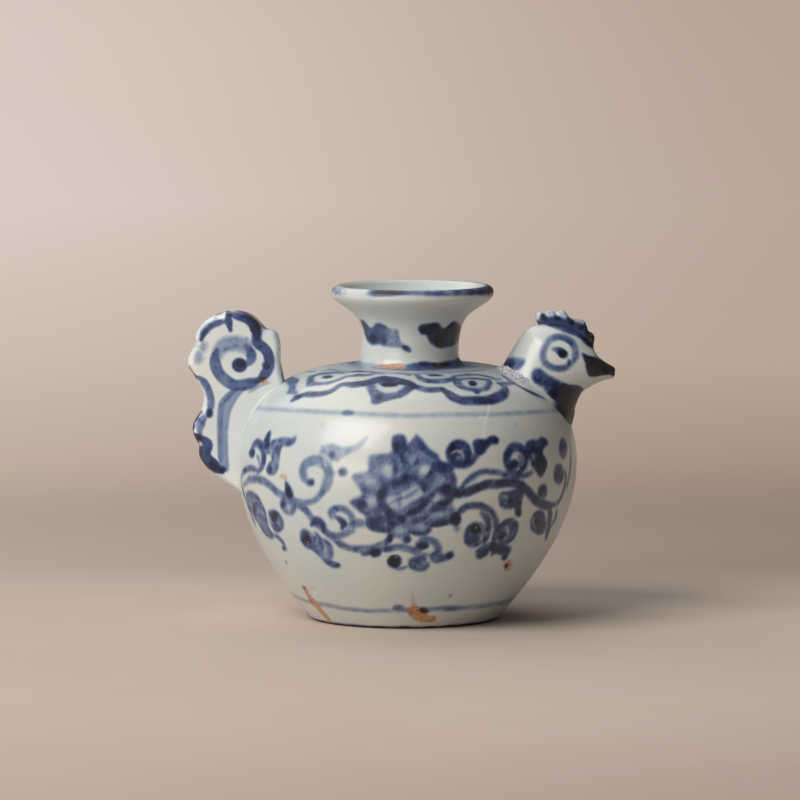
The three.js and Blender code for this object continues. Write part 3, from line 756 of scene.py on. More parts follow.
# The scroll to the right of the bloom.
def paint_right_scroll(canvas):
    leaves(canvas, [
        (oval(14.6, 44.2, 3.4, 3.6), 1.2, 1.35),
        ([(18.4, 47), (18.9, 47.8), (20.2, 48), (21.8, 47.8), (22.9, 48.6), (24.3, 48.9), (25.1, 47.8),
          (24.8, 46.8), (23.5, 46.8), (22.4, 45.7), (21.3, 44.3), (20, 43.8), (18.9, 44.9)], 1.25, 1.35),
        ([(17.6, 41.6), (19.2, 42.2), (20.4, 43.8), (20, 44.8), (18.4, 44.2)], 0.6, 0.6),
        ([(32.3, 46), (33.1, 47.3), (34.4, 47.8), (35.8, 47.6), (36.6, 48.5), (38.2, 47.8), (38.5, 46.8),
          (37.4, 45.8), (37, 44.3), (38.2, 42.2), (37.9, 40), (36.9, 38), (36.1, 38.1), (35.2, 39.8),
          (34.2, 40.8), (33.6, 42.7), (32.7, 44.3)], 1.15, 1.25),
        ([(25.3, 32), (25.9, 33.6), (27.7, 33.8), (29.9, 34.6), (31.5, 35.2), (32, 33.6), (31.5, 31.4),
          (31.2, 29.3), (30.7, 27.4), (29.9, 27.9), (29.6, 29.5), (27.7, 29.3), (25.9, 30.1)], 1.05, 1.25),
        (oval(18.9, 22.3, 2.7, 3.5, -20), 1.15, 1.3),
        ([(25.3, 24.4), (26.7, 26), (28.8, 26.6), (30.4, 25.5), (30.4, 23.3), (29.4, 21.2), (27.7, 19.8),
          (25.9, 19.8), (25.1, 21.7)], 0.85, 1.3),
        ([(19.2, 18), (19.4, 16.3), (20.5, 15.8), (22.4, 16.9), (22.9, 18.3), (24.5, 17.2), (26.7, 16.6),
          (26.9, 15.8), (28.3, 17.4), (28.5, 18.8), (25.6, 19.8), (22.4, 20)], 1.3, 1.3),
        ([(33.9, 25.8), (35, 28.2), (37, 28.6), (37.8, 26.8), (38, 24.4), (37.2, 22.6), (35.6, 22.6),
          (34.2, 23.9)], 1.25, 1.4),
    ])
    lifts(canvas, 0.75, [(14.9, 44.7, 1.5, 0.4, 18), (15.9, 43.7, 0.9, 0.3, -35), (27.2, 32.4, 0.8, 0.4, 0),
                         (27.2, 30.8, 0.7, 0.5, 0), (20.6, 21.4, 0.3, 1.6, 20), (27.7, 23.3, 0.6, 0.8, 0),
                         (34.7, 26.2, 0.2, 1.4, -15), (34.6, 43.6, 0.3, 1.1, 20), (22.6, 24, 0.25, 2.2, -6)])
    strokes(canvas, [
        ([(14.4, 40.4), (16.6, 41), (18.2, 42), (19.4, 43.2)], 1.0, 1.0),
        ([(14.9, 34.4), (16.5, 36.5), (18.6, 38.4), (21.3, 39.2), (24, 39.2), (26.7, 38.7), (29.4, 38.1),
          (32, 38.2), (34.6, 39.2)], 0.9, 1.05),
        ([(15.4, 35.2), (17.6, 36.8), (20, 37.9)], 0.9, 0.3),
        ([(14.6, 32.6), (17.6, 34.1), (20.2, 35.2), (22.9, 35.9), (25.6, 36), (28.3, 36.3), (31, 35.7),
          (33.1, 34.1), (34.7, 32.2), (36.3, 30.9), (38.5, 30.1), (40.3, 30.3)], 1.7, 1.45),
        ([(39.6, 30.1), (40.8, 30.6), (41.9, 32), (42.9, 34.6), (43.3, 37.3), (43.1, 39.4)], 1.1, 1.0),
        ([(30.6, 38.6), (28.9, 39.8), (27.8, 41.4), (27.6, 43.5), (28.4, 45.2), (29.8, 46), (31.3, 45.5),
          (32.2, 44.1), (32.5, 42.2), (31.9, 40.3), (31, 39)], 1.8, 1.25),
        ([(30.7, 43.6), (31.2, 42), (30.6, 40.4)], 0.5, 0.8),
        ([(44.6, 46.6), (44.7, 42.6), (44.3, 38.4), (43.6, 35)], 1.0, 0.8),
        ([(38.9, 29.8), (39.1, 27), (38.7, 24), (38.2, 21.2)], 1.7, 1.35),
        ([(40.9, 28.8), (40.6, 26.8), (39.6, 24.6)], 1.4, 1.0),
        ([(14, 27.8), (16.5, 29.7), (19.2, 30.2), (21.8, 29.5), (23.7, 27.6), (24.7, 25), (24.5, 22.3),
          (23.7, 19.4)],
         1.3, 1.2),
        ([(20.6, 28.2), (22, 26.8), (22.6, 24.6), (22.3, 22.1), (21.3, 20)], 1.2, 1.05),
        ([(23.6, 20), (24, 17.8), (23.6, 16.8)], 1.0, 1.7),
    ])
    blobs(canvas, [(24.4, 47.8, 0.8, 0.7, 2.1), (36.6, 41, 1.5, 2.2, 2.0), (35, 45.4, 1.1, 0.9, 1.7),
                   (29.5, 41.4, 1.2, 1.0, 1.7), (41.4, 38.6, 1.3, 2.7, 1.15), (42.6, 45.5, 1.1, 2.7, 1.05),
                   (37.1, 34, 1.2, 1.9, 1.5), (30.8, 28.2, 0.6, 0.9, 2.0), (28.4, 31.4, 0.9, 0.8, 1.7),
                   (19.4, 23.9, 1.3, 1.3, 2.3), (26.1, 22.2, 0.8, 0.9, 1.8), (26.9, 16.1, 0.7, 0.6, 2.3),
                   (13, 45.6, 0.8, 1.6, 1.7), (14.1, 23.9, 1.0, 0.8, 0.3), (35.7, 25.8, 0.8, 1.0, 2.0),
                   (28.8, 25.2, 0.8, 0.6, 1.5)])
    arcs = [
        ([(12.7, 44.2), (13.5, 44.8), (14.7, 44.8), (15.5, 43.9), (15.8, 42.7)], 0.5),
        ([(13.9, 42.7), (14.6, 43.3), (15, 42.6)], 0.35),
        ([(30.6, 44.6), (31.6, 43.8), (32, 42.4), (31.6, 41)], 0.45),
        ([(22.2, 28.6), (23.5, 26.8), (23.9, 24.4), (23.3, 21.6)], 0.4),
        ([(20, 25.4), (21, 24), (21, 22), (20, 20)], 0.4),
        ([(27, 24.6), (27.9, 23.6), (27.7, 22), (26.6, 21)], 0.45),
        ([(25.9, 32.8), (27.2, 32.8), (27.8, 31.6)], 0.35),
        ([(34.7, 27), (34.6, 25.2), (35.4, 23.6)], 0.3),
    ]
    for points, tone in arcs:
        canvas.line(points, 0.2, 0.75 * tone, 0.3, 0.5, "pale")


# The sprig under the bloom.
def paint_low_sprig(canvas):
    leaves(canvas, [
        ([(1.1, 15.5), (3.1, 16.4), (5.4, 15.7), (6.7, 14.2), (5.6, 12.6), (3.5, 12.4),
          (1.4, 13.4)], 0.8, 1.05),
        ([(7, 17.1), (8.9, 17.9), (10.7, 17.1), (12.4, 17.9), (13.2, 17.1), (12.8, 15.9), (10.9, 15.1),
          (8.9, 14.6), (7.1, 15.3)], 0.8, 1.0),
    ])
    strokes(canvas, [
        ([(-6.7, 18.2), (-4.3, 18.5), (-1.6, 18.9), (1.5, 18.3), (3.9, 17.1), (5.6, 15.7)], 1.5, 0.95),
        ([(3.4, 20.1), (5.4, 20.9), (7.7, 20.5), (9, 19), (8.8, 17.4), (7.4, 16.4)], 1.5, 0.85),
        ([(-4.3, 14.2), (-2.8, 13.3), (-0.8, 13.1), (0.7, 13.7)], 0.7, 0.8),
        ([(3.9, 18.3), (5, 17.3), (6.6, 16.7)], 0.6, 0.9),
        ([(2.5, 15.3), (3.9, 14.8), (5, 13.6)], 0.7, 1.2),
        ([(-4.9, 19.7), (-4.4, 20.8), (-3.9, 21.8)], 1.2, 1.2),
    ])
    canvas.lift([(-1.4, 16.9), (-0.2, 16.7), (0.3, 15.5), (-0.2, 14.2), (-0.9, 14), (-0.4, 15.3),
                 (-0.8, 16.3)], 0.85, 0.3)
    canvas.lift([(4.2, 17.8), (5.6, 18.6), (7.2, 18.5), (7, 17.7), (5.6, 17.4), (4.7, 17.2)], 0.85, 0.3)
    blobs(canvas, [(-2.7, 15.1, 1.8, 1.5, 2.7), (4.8, 19.3, 1.7, 0.9, 2.3), (12.1, 16.6, 0.9, 0.8, 2.1),
                   (-10.6, 17.1, 0.9, 0.5, 1.6), (-7.8, 17.5, 1.5, 1.1, 1.7), (-8.8, 18.5, 0.9, 0.5, 1.3),
                   (2.5, 13.6, 0.9, 0.5, 1.2)])


# The cloud collar on the shoulder, whose lobes hang down from the neck.
def paint_collar(canvas):
    leaves(canvas, [
        ([(-32.3, 64), (-31.8, 64.7), (-30.3, 64.9), (-28.6, 64.1), (-28.4, 63.6), (-29.2, 62.9),
          (-29.3, 61.4), (-28.4, 60.4), (-31.4, 60.3), (-31, 61.6), (-31.3, 63)], 0.7, 1.0),
        ([(-26.3, 62.2), (-26.1, 63.6), (-25.9, 64.6), (-24.6, 65.2), (-23.8, 65.2), (-24.4, 64.4),
          (-24.2, 63.6), (-22.2, 63.2), (-22, 62.7), (-24, 62.5)], 0.85, 1.1),
        ([(-10.3, 63), (-10, 61.4), (-9.3, 60.2), (-8.9, 58.9), (-8.8, 57.8), (-7.4, 57.5), (-6, 58),
          (-4, 58.6), (-2, 59), (0, 59.7), (1.6, 60.8), (2.8, 61.8), (3, 62.6), (-0.8, 63.8), (-5, 64.4),
          (-8, 63.9)], 0.95, 1.15),
        ([(13, 64.4), (13.1, 63.1), (14, 62.2), (15.5, 61.5), (17.2, 61.1), (18.6, 60.9), (19.4, 60.2),
          (20.6, 60.9), (22.2, 61.3), (23.3, 62.3), (23.4, 63.3), (22.8, 64.2), (18, 64.6)], 0.85, 1.15),
    ])
    canvas.lift([(-8, 62.9), (-7.6, 61.6), (-6, 60.7), (-4, 60.5), (-2, 60.9), (-0.6, 61.8), (0.4, 62.9),
                 (-0.8, 63.2), (-2.2, 62.7), (-4.4, 62.2), (-6.4, 62.6), (-7, 63.3), (-5.6, 63.8),
                 (-6.6, 64)], 0.92, 0.3)
    canvas.lift([(15.1, 63.9), (15.6, 63), (16.6, 62.3), (18.5, 61.9), (20.5, 62), (21.8, 62.7), (22.2, 63.6),
                 (20, 64), (17, 64.1)], 0.9, 0.3)
    strokes(canvas, [
        ([(-29.9, 58.7), (-28.3, 59.5), (-26.4, 60.1)], 2.6, 1.5),
        ([(-28.6, 59.6), (-26.4, 60.2), (-24.5, 60.1), (-22.5, 60.3), (-20.5, 60.7), (-19, 61.4), (-18, 62.1),
          (-17, 62.7), (-15.5, 63), (-14, 62.9)], 1.7, 1.3),
        ([(-16.5, 62.9), (-14, 62.8), (-12, 62.9), (-10, 63.3), (-8, 63.9), (-6, 64.4), (-4, 64.3),
          (-2, 63.9), (-0.5, 63.5), (1, 63.2), (2, 62.8), (3, 62.3)], 2.9, 1.35),
        ([(2, 62.8), (3, 62.3), (4.5, 61.7), (6, 61.4), (8, 61.3), (9.5, 61.5), (10.5, 61.3),
          (11.5, 60.6)], 2.0, 1.1),
        ([(10, 61.6), (11.5, 60.6), (12.5, 59.8), (14, 59), (15.5, 58.5), (17.5, 58.4), (20, 58.5),
          (22, 58.5), (24, 58.9), (25.5, 59.6), (26.7, 60.5), (27.1, 61.6), (26.5, 62.7)], 2.6, 1.35),
        ([(19, 58.4), (21, 58.3), (23.2, 58.6)], 2.4, 1.8),
        ([(25.4, 63), (27.2, 62.9), (29.2, 63.3)], 2.2, 1.3),
        ([(-24, 62.9), (-22, 63.1), (-20, 63.3), (-18.5, 63.8), (-17, 64.4), (-15.5, 64.9), (-13.5, 65.1),
          (-11, 65.2), (-9, 65.5), (-7.5, 65.9)], 1.5, 0.9),
        ([(-25.4, 65.1), (-23, 65.6), (-20, 65.8), (-18, 66), (-15.8, 65.8)], 2.4, 0.7),
        ([(-27.4, 65.8), (-25.6, 66.3), (-24, 66.2)], 1.4, 0.55),
        ([(-22.4, 66.5), (-20, 66.7), (-17.6, 66.5)], 1.2, 0.6),
        ([(-15.2, 66.2), (-12, 66.3), (-9, 66.2), (-7, 65.9), (-5.4, 65.6)], 1.5, 1.0),
        ([(-6, 65.9), (-3.4, 65.9), (-0.6, 65.7), (1.6, 65.2)], 1.2, 0.8),
        ([(3.2, 65.5), (3.9, 64.8), (5, 64.1), (6.5, 63.8), (8, 63.7), (10, 63.7), (12, 64.1),
          (13.4, 64.7)], 2.4, 1.0),
        ([(13.2, 65), (16, 65.3), (19, 65.4), (22, 65), (25, 64.3)], 1.5, 0.75),
        ([(23.4, 64.3), (24.6, 64), (26, 64.4)], 1.0, 0.8),
    ])
    blobs(canvas, [(-20.7, 64.8, 1.4, 0.36, 2.0), (-3.9, 62.8, 2.2, 0.55, 2.3), (18.3, 63.1, 1.1, 0.65, 2.3),
                   (8.2, 65.25, 2.3, 0.2, 1.9), (-12.2, 65.4, 1.4, 0.16, 1.5), (-31.2, 64.5, 0.8, 0.3, 1.4),
                   (-28.6, 59.5, 1.2, 0.5, 1.9), (-6.8, 59.4, 1.2, 0.8, 1.6), (19.4, 60.8, 0.9, 0.5, 1.5)])


# A line right round the pot through picture points of its front, with the same points half a turn on.
def all_round(canvas, points, width, tone):
    line = canvas.place(smooth_line(points))
    turns = np.concatenate([line[:, 0], line[:, 0] + math.pi])
    level = np.interp(canvas.across, turns, np.tile(line[:, 1], 2), period=2 * math.pi)
    near = np.abs(canvas.along - level) - width / 2
    canvas.cover(tone * (1 - smoothstep(-0.35, 0.35, near)))


# The rings on the shoulder round the neck's foot: radius, tone and width
NECK_RINGS = ((15.7, 1.5, 2.3), (18.4, 0.9, 0.9), (20.4, 0.6, 0.6), (22.2, 0.6, 0.8))


# The thin lines round the shoulder and the foot, which sag a little, the dark line along the seam by the
# head, which is partly painted shadow, and the neck's rings.
def paint_lines(canvas):
    all_round(canvas, [(-42, 56.5), (-28, 55.7), (-15.4, 55.1), (-1.2, 54.4), (12.2, 54.7), (25.6, 54.8),
                       (38.5, 55.6)],
              1.3, 0.32)
    canvas.blob(-15.2, 55.1, 1.6, 0.7, 0.85)
    all_round(canvas, [(-29.9, 5.8), (-26, 4.2), (-21, 3.2), (-16, 2.3), (-10, 1.7), (-4, 1.7), (2, 1.9),
                       (8, 2.2), (14, 2.4), (20.2, 2.9), (26, 3.8), (29.6, 5)], 1.5, 0.45)
    canvas.blob(-1.6, 2.5, 1.6, 0.8, 0.8)
    canvas.blob(12, 2.3, 4.0, 0.7, 0.75)
    # A dark line along the seam by the head: partly cobalt gathered in the seam, partly painted shadow there.
    canvas.line([(26.5, 65.2), (27.6, 64.3), (29, 63.5), (30.5, 62.5), (32, 61.7), (33.5, 60.9), (35, 60.2),
                 (36.6, 59.5), (38, 59)], 1.2, 1.3)
    canvas.line([(-33.2, 64.3), (-35.2, 63), (-37.4, 61.4), (-38.9, 59.8)], 0.5, 1.2)
    for radius, tone, wide in NECK_RINGS:
        level = np.interp(-radius, -POT_LINE[BELLY_ROW:, 0], lengths(POT_LINE)[BELLY_ROW:])
        turn = canvas.across
        near = np.abs(canvas.along - level + 0.4 * np.sin(3 * turn + radius)) - wide / 2
        broken = 0.6 + 0.4 * np.sin(turn * 2.0 + 2.4 + 0.1 * radius)
        canvas.cover(tone * broken * (1 - smoothstep(-0.3, 0.3, near)))


# Chips with the orange body showing, iron spots, a fine crack in the glaze, and painted glints: small white
# dots on the dark ink.
def paint_age(canvas):
    canvas.fill([(-27.6, 8.2), (-26.7, 8.3), (-25.6, 6.1), (-24.2, 4.5), (-22.4, 2.3), (-20.7, 0.3),
                 (-19.2, -1.9), (-20.4, -1.4), (-22.2, 0.4), (-24.4, 2.8), (-25.8, 4.6),
                 (-26.8, 6.4)], 0.85, 0.3, "rust")
    canvas.line([(-26.4, 8.2), (-25.2, 7.6), (-24, 8.2)], 0.5, 0.3, 0.4, 0.5, "rust")
    canvas.line([(-23, 4), (-20.6, 3.4), (-18, 3)], 0.8, 0.3, 0.5, 0.5, "rust")
    canvas.blob(-27.2, 7.9, 0.4, 0.35, 1.6)
    canvas.fill([(0.4, 2.6), (1.6, 2.6), (2.6, 4), (3.4, 3), (5, 2.4), (6.4, 1.4), (6, 0.6), (7.4, 0.2),
                 (8.6, 0.2), (8.6, -0.8), (7.6, -1.5), (5.4, -1.5), (3.2, -1), (1.8, 0),
                 (1, 1.2)], 0.95, 0.5, "rust")
    canvas.line([(2.2, 6.2), (2.5, 4.4), (2.6, 3)], 0.7, 0.45, 0.5, 0.6, "rust")
    canvas.blob(5.2, 1.8, 1.4, 0.8, 1.4, -10, 0.5)
    canvas.blob(2, 1, 0.9, 0.5, 0.8, 30, 0.5)
    canvas.line([(3.6, -0.3), (4.6, -0.1), (5.4, -0.6)], 0.5, 0.9, 0.2, 0.5, "bare")
    canvas.fill([(27, 14.8), (28.4, 15.4), (29.2, 14.6), (28.6, 13), (27.4, 12.2),
                 (26.8, 13.4)], 0.75, 0.4, "rust")
    canvas.blob(27.6, 13.8, 0.4, 0.8, 2.2)
    canvas.fill([(-33.8, 37.9), (-32.8, 38.7), (-31.6, 38), (-31.6, 36.9), (-32.6, 37.2)], 0.6, 0.4, "rust")
    for x, z, size in ((-31.9, 14.9, 0.3), (1.8, 44, 0.25), (12.4, 5.8, 0.25), (-22, 52, 0.2),
                       (30, 52, 0.22)):
        canvas.blob(x, z, size, size, 1.6)
    canvas.line([(22.5, 57.2), (22.4, 55), (21.7, 53), (21.4, 51), (21.2, 48.8)], 0.3, 0.5, 0.2, 0.0, "pale")
    canvas.line([(20.2, 53.8), (21.4, 53.9), (22.3, 53.6)], 0.4, 0.5, 0.2, 0.0, "pale")
    # Painted glints: small white dots on the dark ink.
    for x, z in ((-26.6, 21.2), (-26, 20.2), (-2.9, 46), (-2.3, 16.2), (19.3, 24.2), (0.9, 45.6)):
        canvas.blob(x, z, 0.16, 0.16, 0.8, 0, 0.2, "pale")


# Everything on the pot. The front's scrolls and collar are on the back as well, half a turn on.
def paint_pot(canvas):
    paint_bloom(canvas)
    # The left scroll is laid lighter and the right one darker, partly for heavier cobalt and partly as
    # painted light and shade across the pot.
    canvas.strength = 0.82
    paint_left_scroll(canvas)
    canvas.strength = 1.18
    paint_right_scroll(canvas)
    canvas.strength = 1.0
    paint_low_sprig(canvas)
    paint_collar(canvas)
    paint_lines(canvas)
    canvas.cover(np.roll(canvas.ink, POT_COLUMNS // 2, axis=1))
    paint_age(canvas)
    # The foot's chamfer is painted dark brown with ink and rust all round: a painted contact shadow where the
    # foot meets the floor.
    ragged = 0.2 * np.sin(canvas.across * 7) * np.sin(canvas.across * 17)
    foot = 1 - smoothstep(0.5, 1.0, canvas.along + ragged)
    canvas.cover(2.0 * foot)
    canvas.cover(foot, "rust")
    canvas.relief = 0.18 * canvas.rust


# The two bowls of the pot, with one painting that runs over both.
def make_pot(material):
    turn, grid = turned_grid(POT_LINE, POT_COLUMNS, BODY_LEAN)
    grid = pressed_in(grid, hand_made(grid, 3))
    canvas = turned_canvas(POT_LINE, turn, thrower(POT_LINE, BODY_LEAN))
    paint_pot(canvas)
    canvas.bleed(1, grid, 61)
    grid = pressed_in(grid, canvas.relief)
    bowl = [(r - BODY_WALL, z) for r, z in bezier(BOWL_HANDLES, 12)[::-1] if z > BASE_THICKNESS + 1.5]
    bowl += [(FOOT_RADIUS - BODY_WALL, BASE_THICKNESS), (INNER_BASE_RADIUS, BASE_THICKNESS)]
    under = evenly([(UNDER_RADIUS, 0.0), (FOOT_RADIUS - FOOT_CHAMFER - 0.6, 0.0)], 3.0)
    pot_shell("lower_bowl_glazed", grid[:BELLY_ROW + 1], bowl, canvas, slice(0, BELLY_ROW + 1), material,
              ["lower_bowl"], under)
    shoulder = bezier(SHOULDER_HANDLES, 12)
    shoulder = (shoulder - BODY_WALL * outward(shoulder))[::-1]
    shoulder = np.vstack([[(NECK_BORE, SEAT_HEIGHT), (NECK_BORE, SEAT_HEIGHT - BODY_WALL)],
                          shoulder[shoulder[:, 0] > NECK_BORE + 1]])
    shoulder[-1] = (BELLY_RADIUS - BODY_WALL, BELLY_HEIGHT)
    pot_shell("upper_bowl_glazed", grid[BELLY_ROW:], shoulder, canvas, slice(BELLY_ROW, len(grid)), material,
              ["upper_bowl", "belly_slip_ring"])


# One bowl as a closed shell: its painted outside, then its inside, and for the lower bowl its foot.
def pot_shell(name, outside, inside, canvas, rows, material, replaced, under=None):
    _, inner = turned_grid(np.asarray(inside, float), POT_COLUMNS, BODY_LEAN)
    grids = [outside, inner]
    pigments = {p: [layer[rows], np.zeros(inner.shape[:2])] for p, layer in canvas.layers().items()}
    if under is not None:
        _, below = turned_grid(under, POT_COLUMNS, BODY_LEAN)
        grids = [below, *grids]
        pigments = {p: [np.full(below.shape[:2], float(p == "bare")),
                        *parts] for p, parts in pigments.items()}
    pigments = {p: np.concatenate(parts) for p, parts in pigments.items()}
    vertices = np.concatenate(grids)
    size = vertices.shape[:2]
    faces = grid_faces(*size).tolist()
    faces += joined_ends(*size) if under is None else end_caps(*size)
    return made(name, vertices.reshape(-1, 3), faces, material, replaced, pigments)


# Two clouds on the front of the neck, and again half a turn on.
def paint_clouds(canvas):
    leaves(canvas, [
        ([(-11.8, 80), (-10.8, 79.9), (-10.2, 79), (-9.3, 77.9), (-8.3, 78.2), (-7.8, 79), (-6.6, 79.2),
          (-5.5, 78.7), (-4.5, 78), (-3, 77.7), (-1.9, 77.4), (-1.6, 76.2), (-1.3, 75), (-1, 74), (0.2, 73.3),
          (1.3, 72.6), (1.7, 72), (1.2, 71.5), (0.2, 71.8), (-1, 72.6), (-3.5, 72.9), (-5, 73.1),
          (-6.8, 73.7), (-8.7, 73.5), (-9.8, 74.3), (-10.4, 76), (-11.2, 78)], 1.0, 1.15),
        ([(3.7, 77.8), (4.5, 78.7), (6, 79), (7.5, 79.2), (8.8, 79.2), (9.5, 78.5), (10.3, 77.7),
          (11.5, 78.3), (12.5, 79.3), (13.5, 79.5), (14.8, 78.5), (15.2, 76.9), (14.7, 75), (13.5, 73.6),
          (12, 73.2), (10, 72.8), (8.4, 73.2), (7, 74), (6.3, 75.5), (5.8, 76.4), (4.5, 76.5)], 2.7, 2.4),
    ])
    canvas.lift([(-4.4, 78.4), (-2.4, 77.8), (-1.2, 74.4), (-0.6, 72.6), (-4.6, 72.6),
                 (-4.6, 75.4)], 0.45, 1.0)
    canvas.lift(oval(-3.1, 77.2, 1.0, 0.5, 30), 0.4, 0.4)
    strokes(canvas, [
        ([(-11.5, 79.8), (-10.6, 77.4), (-10, 75)], 1.3, 1.45),
        ([(-0.2, 72.9), (0.7, 72.4), (1.4, 71.9)], 1.0, 1.9),
    ])
    blobs(canvas, [(-8.6, 75, 1.1, 1.2, 1.35), (-5.4, 74.4, 0.8, 0.6, 1.25)])
    canvas.cover(np.roll(canvas.ink, NECK_COLUMNS // 2, axis=1))


# The band at the neck's foot, darker in front.
def paint_neck_foot(canvas):
    turn = canvas.across
    ragged = 0.15 * np.sin(5 * turn) + 0.12 * np.sin(11 * turn)
    front = plateau(turn, -1.75, -1.3, 0.1, 0.8)
    foot = 1 - smoothstep(1.7, 2.6, canvas.along + ragged - 0.6 * front)
    canvas.cover(foot * (0.5 + 0.9 * front))


# The broken band on the lip, which is brown where it is dark, with its stains and its worn edge. Lip is the
# turn about the middle of the lip's roll, from 0 at its outer side.
def paint_lip(canvas, line):
    turn = canvas.across
    lip = np.arctan2(line[:, 1] - LIP_CENTRE[1], line[:, 0] - LIP_CENTRE[0])[:, None]
    on_lip = (line[:, 0] > LIP_CENTRE[0] - LIP_RADIUS)[:, None] & (line[:, 1] > LIP_START)[:, None]
    front = plateau(turn, -1.1, -0.5, 0.6, 1.4)
    start = 0.22 + 0.1 * np.sin(7 * turn) - 0.3 * front
    band = plateau(lip, start, start + 0.25, 1.5, 1.8)
    strength = np.interp(turn, [-3.2, -2.2, -2.05, -1.85, -1.65, -1.1, -0.8, 0, 0.6, 1.2, 2.0, 3.2],
                         [0.05, 0.05, 1.9, 2.4, 1.0, 0.8, 1.2, 1.3, 0.6, 0.9, 0.2, 0.05])
    canvas.cover(band * strength * on_lip)
    canvas.cover(0.42 * band * on_lip * smoothstep(0.9, 1.3, strength), "rust")
    place = np.stack([turn * 20, lip * 2 + 0 * turn], axis=-1)
    stained = smoothstep(2.45, 2.75, np.abs(turn)) * (0.7 + 0.4 * waves(place, 2.5, 71))
    stain = 0.5 * stained * plateau(lip, -0.3, 0.1, 0.8, 1.2)
    canvas.cover(stain * on_lip)
    worn = plateau(turn, -0.55, -0.3, 0.1, 0.3) * plateau(lip, -0.6, -0.2, 1.2, 1.6)
    canvas.cover(0.6 * worn * on_lip, "rust")


# Everything on the neck, with the chip and the brown stains at its foot.
def paint_neck(canvas, line):
    paint_clouds(canvas)
    paint_neck_foot(canvas)
    paint_lip(canvas, line)
    canvas.blob(4.2, 82.6, 1.8, 0.5, 0.12, 0, 0.6, "rust")
    chip = [(-8.2, 67.6), (-6, 67.9), (-3, 68.4), (-0.8, 68.4), (0.2, 67.9), (-0.6, 67), (-4, 66.9),
            (-7, 67.2)]
    canvas.fill(chip, 0.4, 0.3, "rust")
    canvas.fill(chip, 0.9, 0.3, "bare")
    canvas.fill([(7, 68.4), (12, 68.6), (12, 67.6), (8, 67.4)], 0.8, 0.4, "rust")
    blobs(canvas, [(8.2, 68, 0.8, 0.4, 2.8), (11, 68.1, 1.2, 0.4, 2.8)])
    canvas.relief = 0.2 * canvas.rust


# The neck as one closed turned surface: its outside with the lip, then its bore.
def make_neck(material):
    outside = np.vstack([
        evenly([(15.6, 68.15), (14.6, 68.5), (NECK_FOOT_RADIUS, NECK_BASE)], 0.4),
        evenly(bezier(NECK_FOOT_HANDLES, 20), 0.3)[1:],
        evenly(bezier(FLARE_HANDLES, 50), 0.36)[1:],
        evenly(arc(LIP_CENTRE, LIP_RADIUS, -0.6, 2.5, 30), 0.3)[1:],
    ])
    inside = evenly(bezier(THROAT_HANDLES, 40), 0.7)[1:]
    line = np.vstack([outside, inside, [(NECK_BORE, NECK_BASE - 0.3)]])
    turn, grid = turned_grid(line, NECK_COLUMNS, NECK_LEAN, NECK_OFFSET, SEAT_HEIGHT)
    grid = pressed_in(grid, hand_made(grid, 11, 0.12))
    painted = outside[outside[:, 1] < LIP_START]
    canvas = turned_canvas(line, turn, thrower(painted, NECK_LEAN, NECK_OFFSET, SEAT_HEIGHT))
    paint_neck(canvas, line)
    canvas.bleed(1, grid, 63)
    grid = pressed_in(grid, canvas.relief)
    size = grid.shape[:2]
    faces = grid_faces(*size).tolist() + joined_ends(*size)
    made("neck_glazed", grid.reshape(-1, 3), faces, material, ["neck", "neck_slip_ring"],
         canvas.layers())


# How far points are outside the pot. Points inside it count below zero.
def outside_pot(points):
    flat = points.reshape(-1, 3)
    around = np.column_stack([np.hypot(flat[:, 0] - BODY_LEAN * flat[:, 2], flat[:, 1]), flat[:, 2]])
    a, b = POT_LINE[:-1:2], POT_LINE[2::2]
    a = a[:len(b)]
    step = b - a
    size = (step**2).sum(axis=1)
    t = np.clip(((around[:, None] - a) * step).sum(axis=-1) / size, 0, 1)
    away = np.linalg.norm(around[:, None] - a - t[..., None] * step, axis=-1)
    best = away.argmin(axis=1)
    row = np.arange(len(flat))
    rel = around - a[best]
    side = np.sign(step[best, 1] * rel[:, 0] - step[best, 0] * rel[:, 1])
    return (side * away[row, best]).reshape(points.shape[:-1])


# A point on the shoulder in the plane of symmetry, inset from the belly. Side is 1 by the beak, -1 by the
# tail.
def shoulder_point(inset, side):
    radius = BELLY_RADIUS - inset
    line = bezier(SHOULDER_HANDLES, 11)[::-1]
    height = np.interp(radius, line[:, 0], line[:, 1])
    return np.array([side * radius + BODY_LEAN * height, height])


# The head's stations, from its root to the tip of its beak: back, throat and half the width, as in the CAD
HEAD_ROOT = shoulder_point(9.0, 1)
HEAD_STATIONS = np.array([
    [-15.5, 1.8, 2.7, -12.6, 13.0],
    [-12.3, 4.9, 6.1, -9.6, 12.6],
    [-7.0, 13.4, 9.4, -1.7, 9.2],
    [-3.4, 16.8, 11.8, 0.3, 8.5],
    [3.7, 17.3, 14.0, 1.5, 7.4],
    [10.8, 13.5, 15.9, 2.2, 4.9],
    [14.4, 8.3, 17.2, 2.5, 2.7],
    [18.7, 5.55, 18.5, 2.85, 1.35],
]) + np.array([*HEAD_ROOT, *HEAD_ROOT, 0.0])
HEAD_WALL = 2.3
BEAK_BORE = 0.85
BEAK_ROUNDING = 0.45
HOLLOW_END = 0.66
HEAD_ROWS = 116
HEAD_COLUMNS = 180
ROOT_DEPTH = 1.2
COMB_START = 0.455
COMB_END = 0.765
COMB_THICKNESS = 4.0
COMB_FOOTING = 1.6
FILLET_SECTION = 9
HEAD_SLIP_STEPS = 420
SLIP_SUNK = 0.12


# The stations between the given ones, at shares of the way to the beak.
def head_at(share):
    ends = np.vstack([HEAD_STATIONS[:1], HEAD_STATIONS, HEAD_STATIONS[-1:]])
    place = np.clip(np.asarray(share, float), 0, 1) * (len(HEAD_STATIONS) - 1)
    first = np.minimum(place.astype(int), len(HEAD_STATIONS) - 2)
    t = (place - first)[..., None]
    a, b, c, d = (ends[first + i] for i in range(4))
    return 0.5 * (2 * b + (c - a) * t + (2 * a - 5 * b + 4 * c - d) * t**2 + (3 * b - a - 3 * c + d) * t**3)


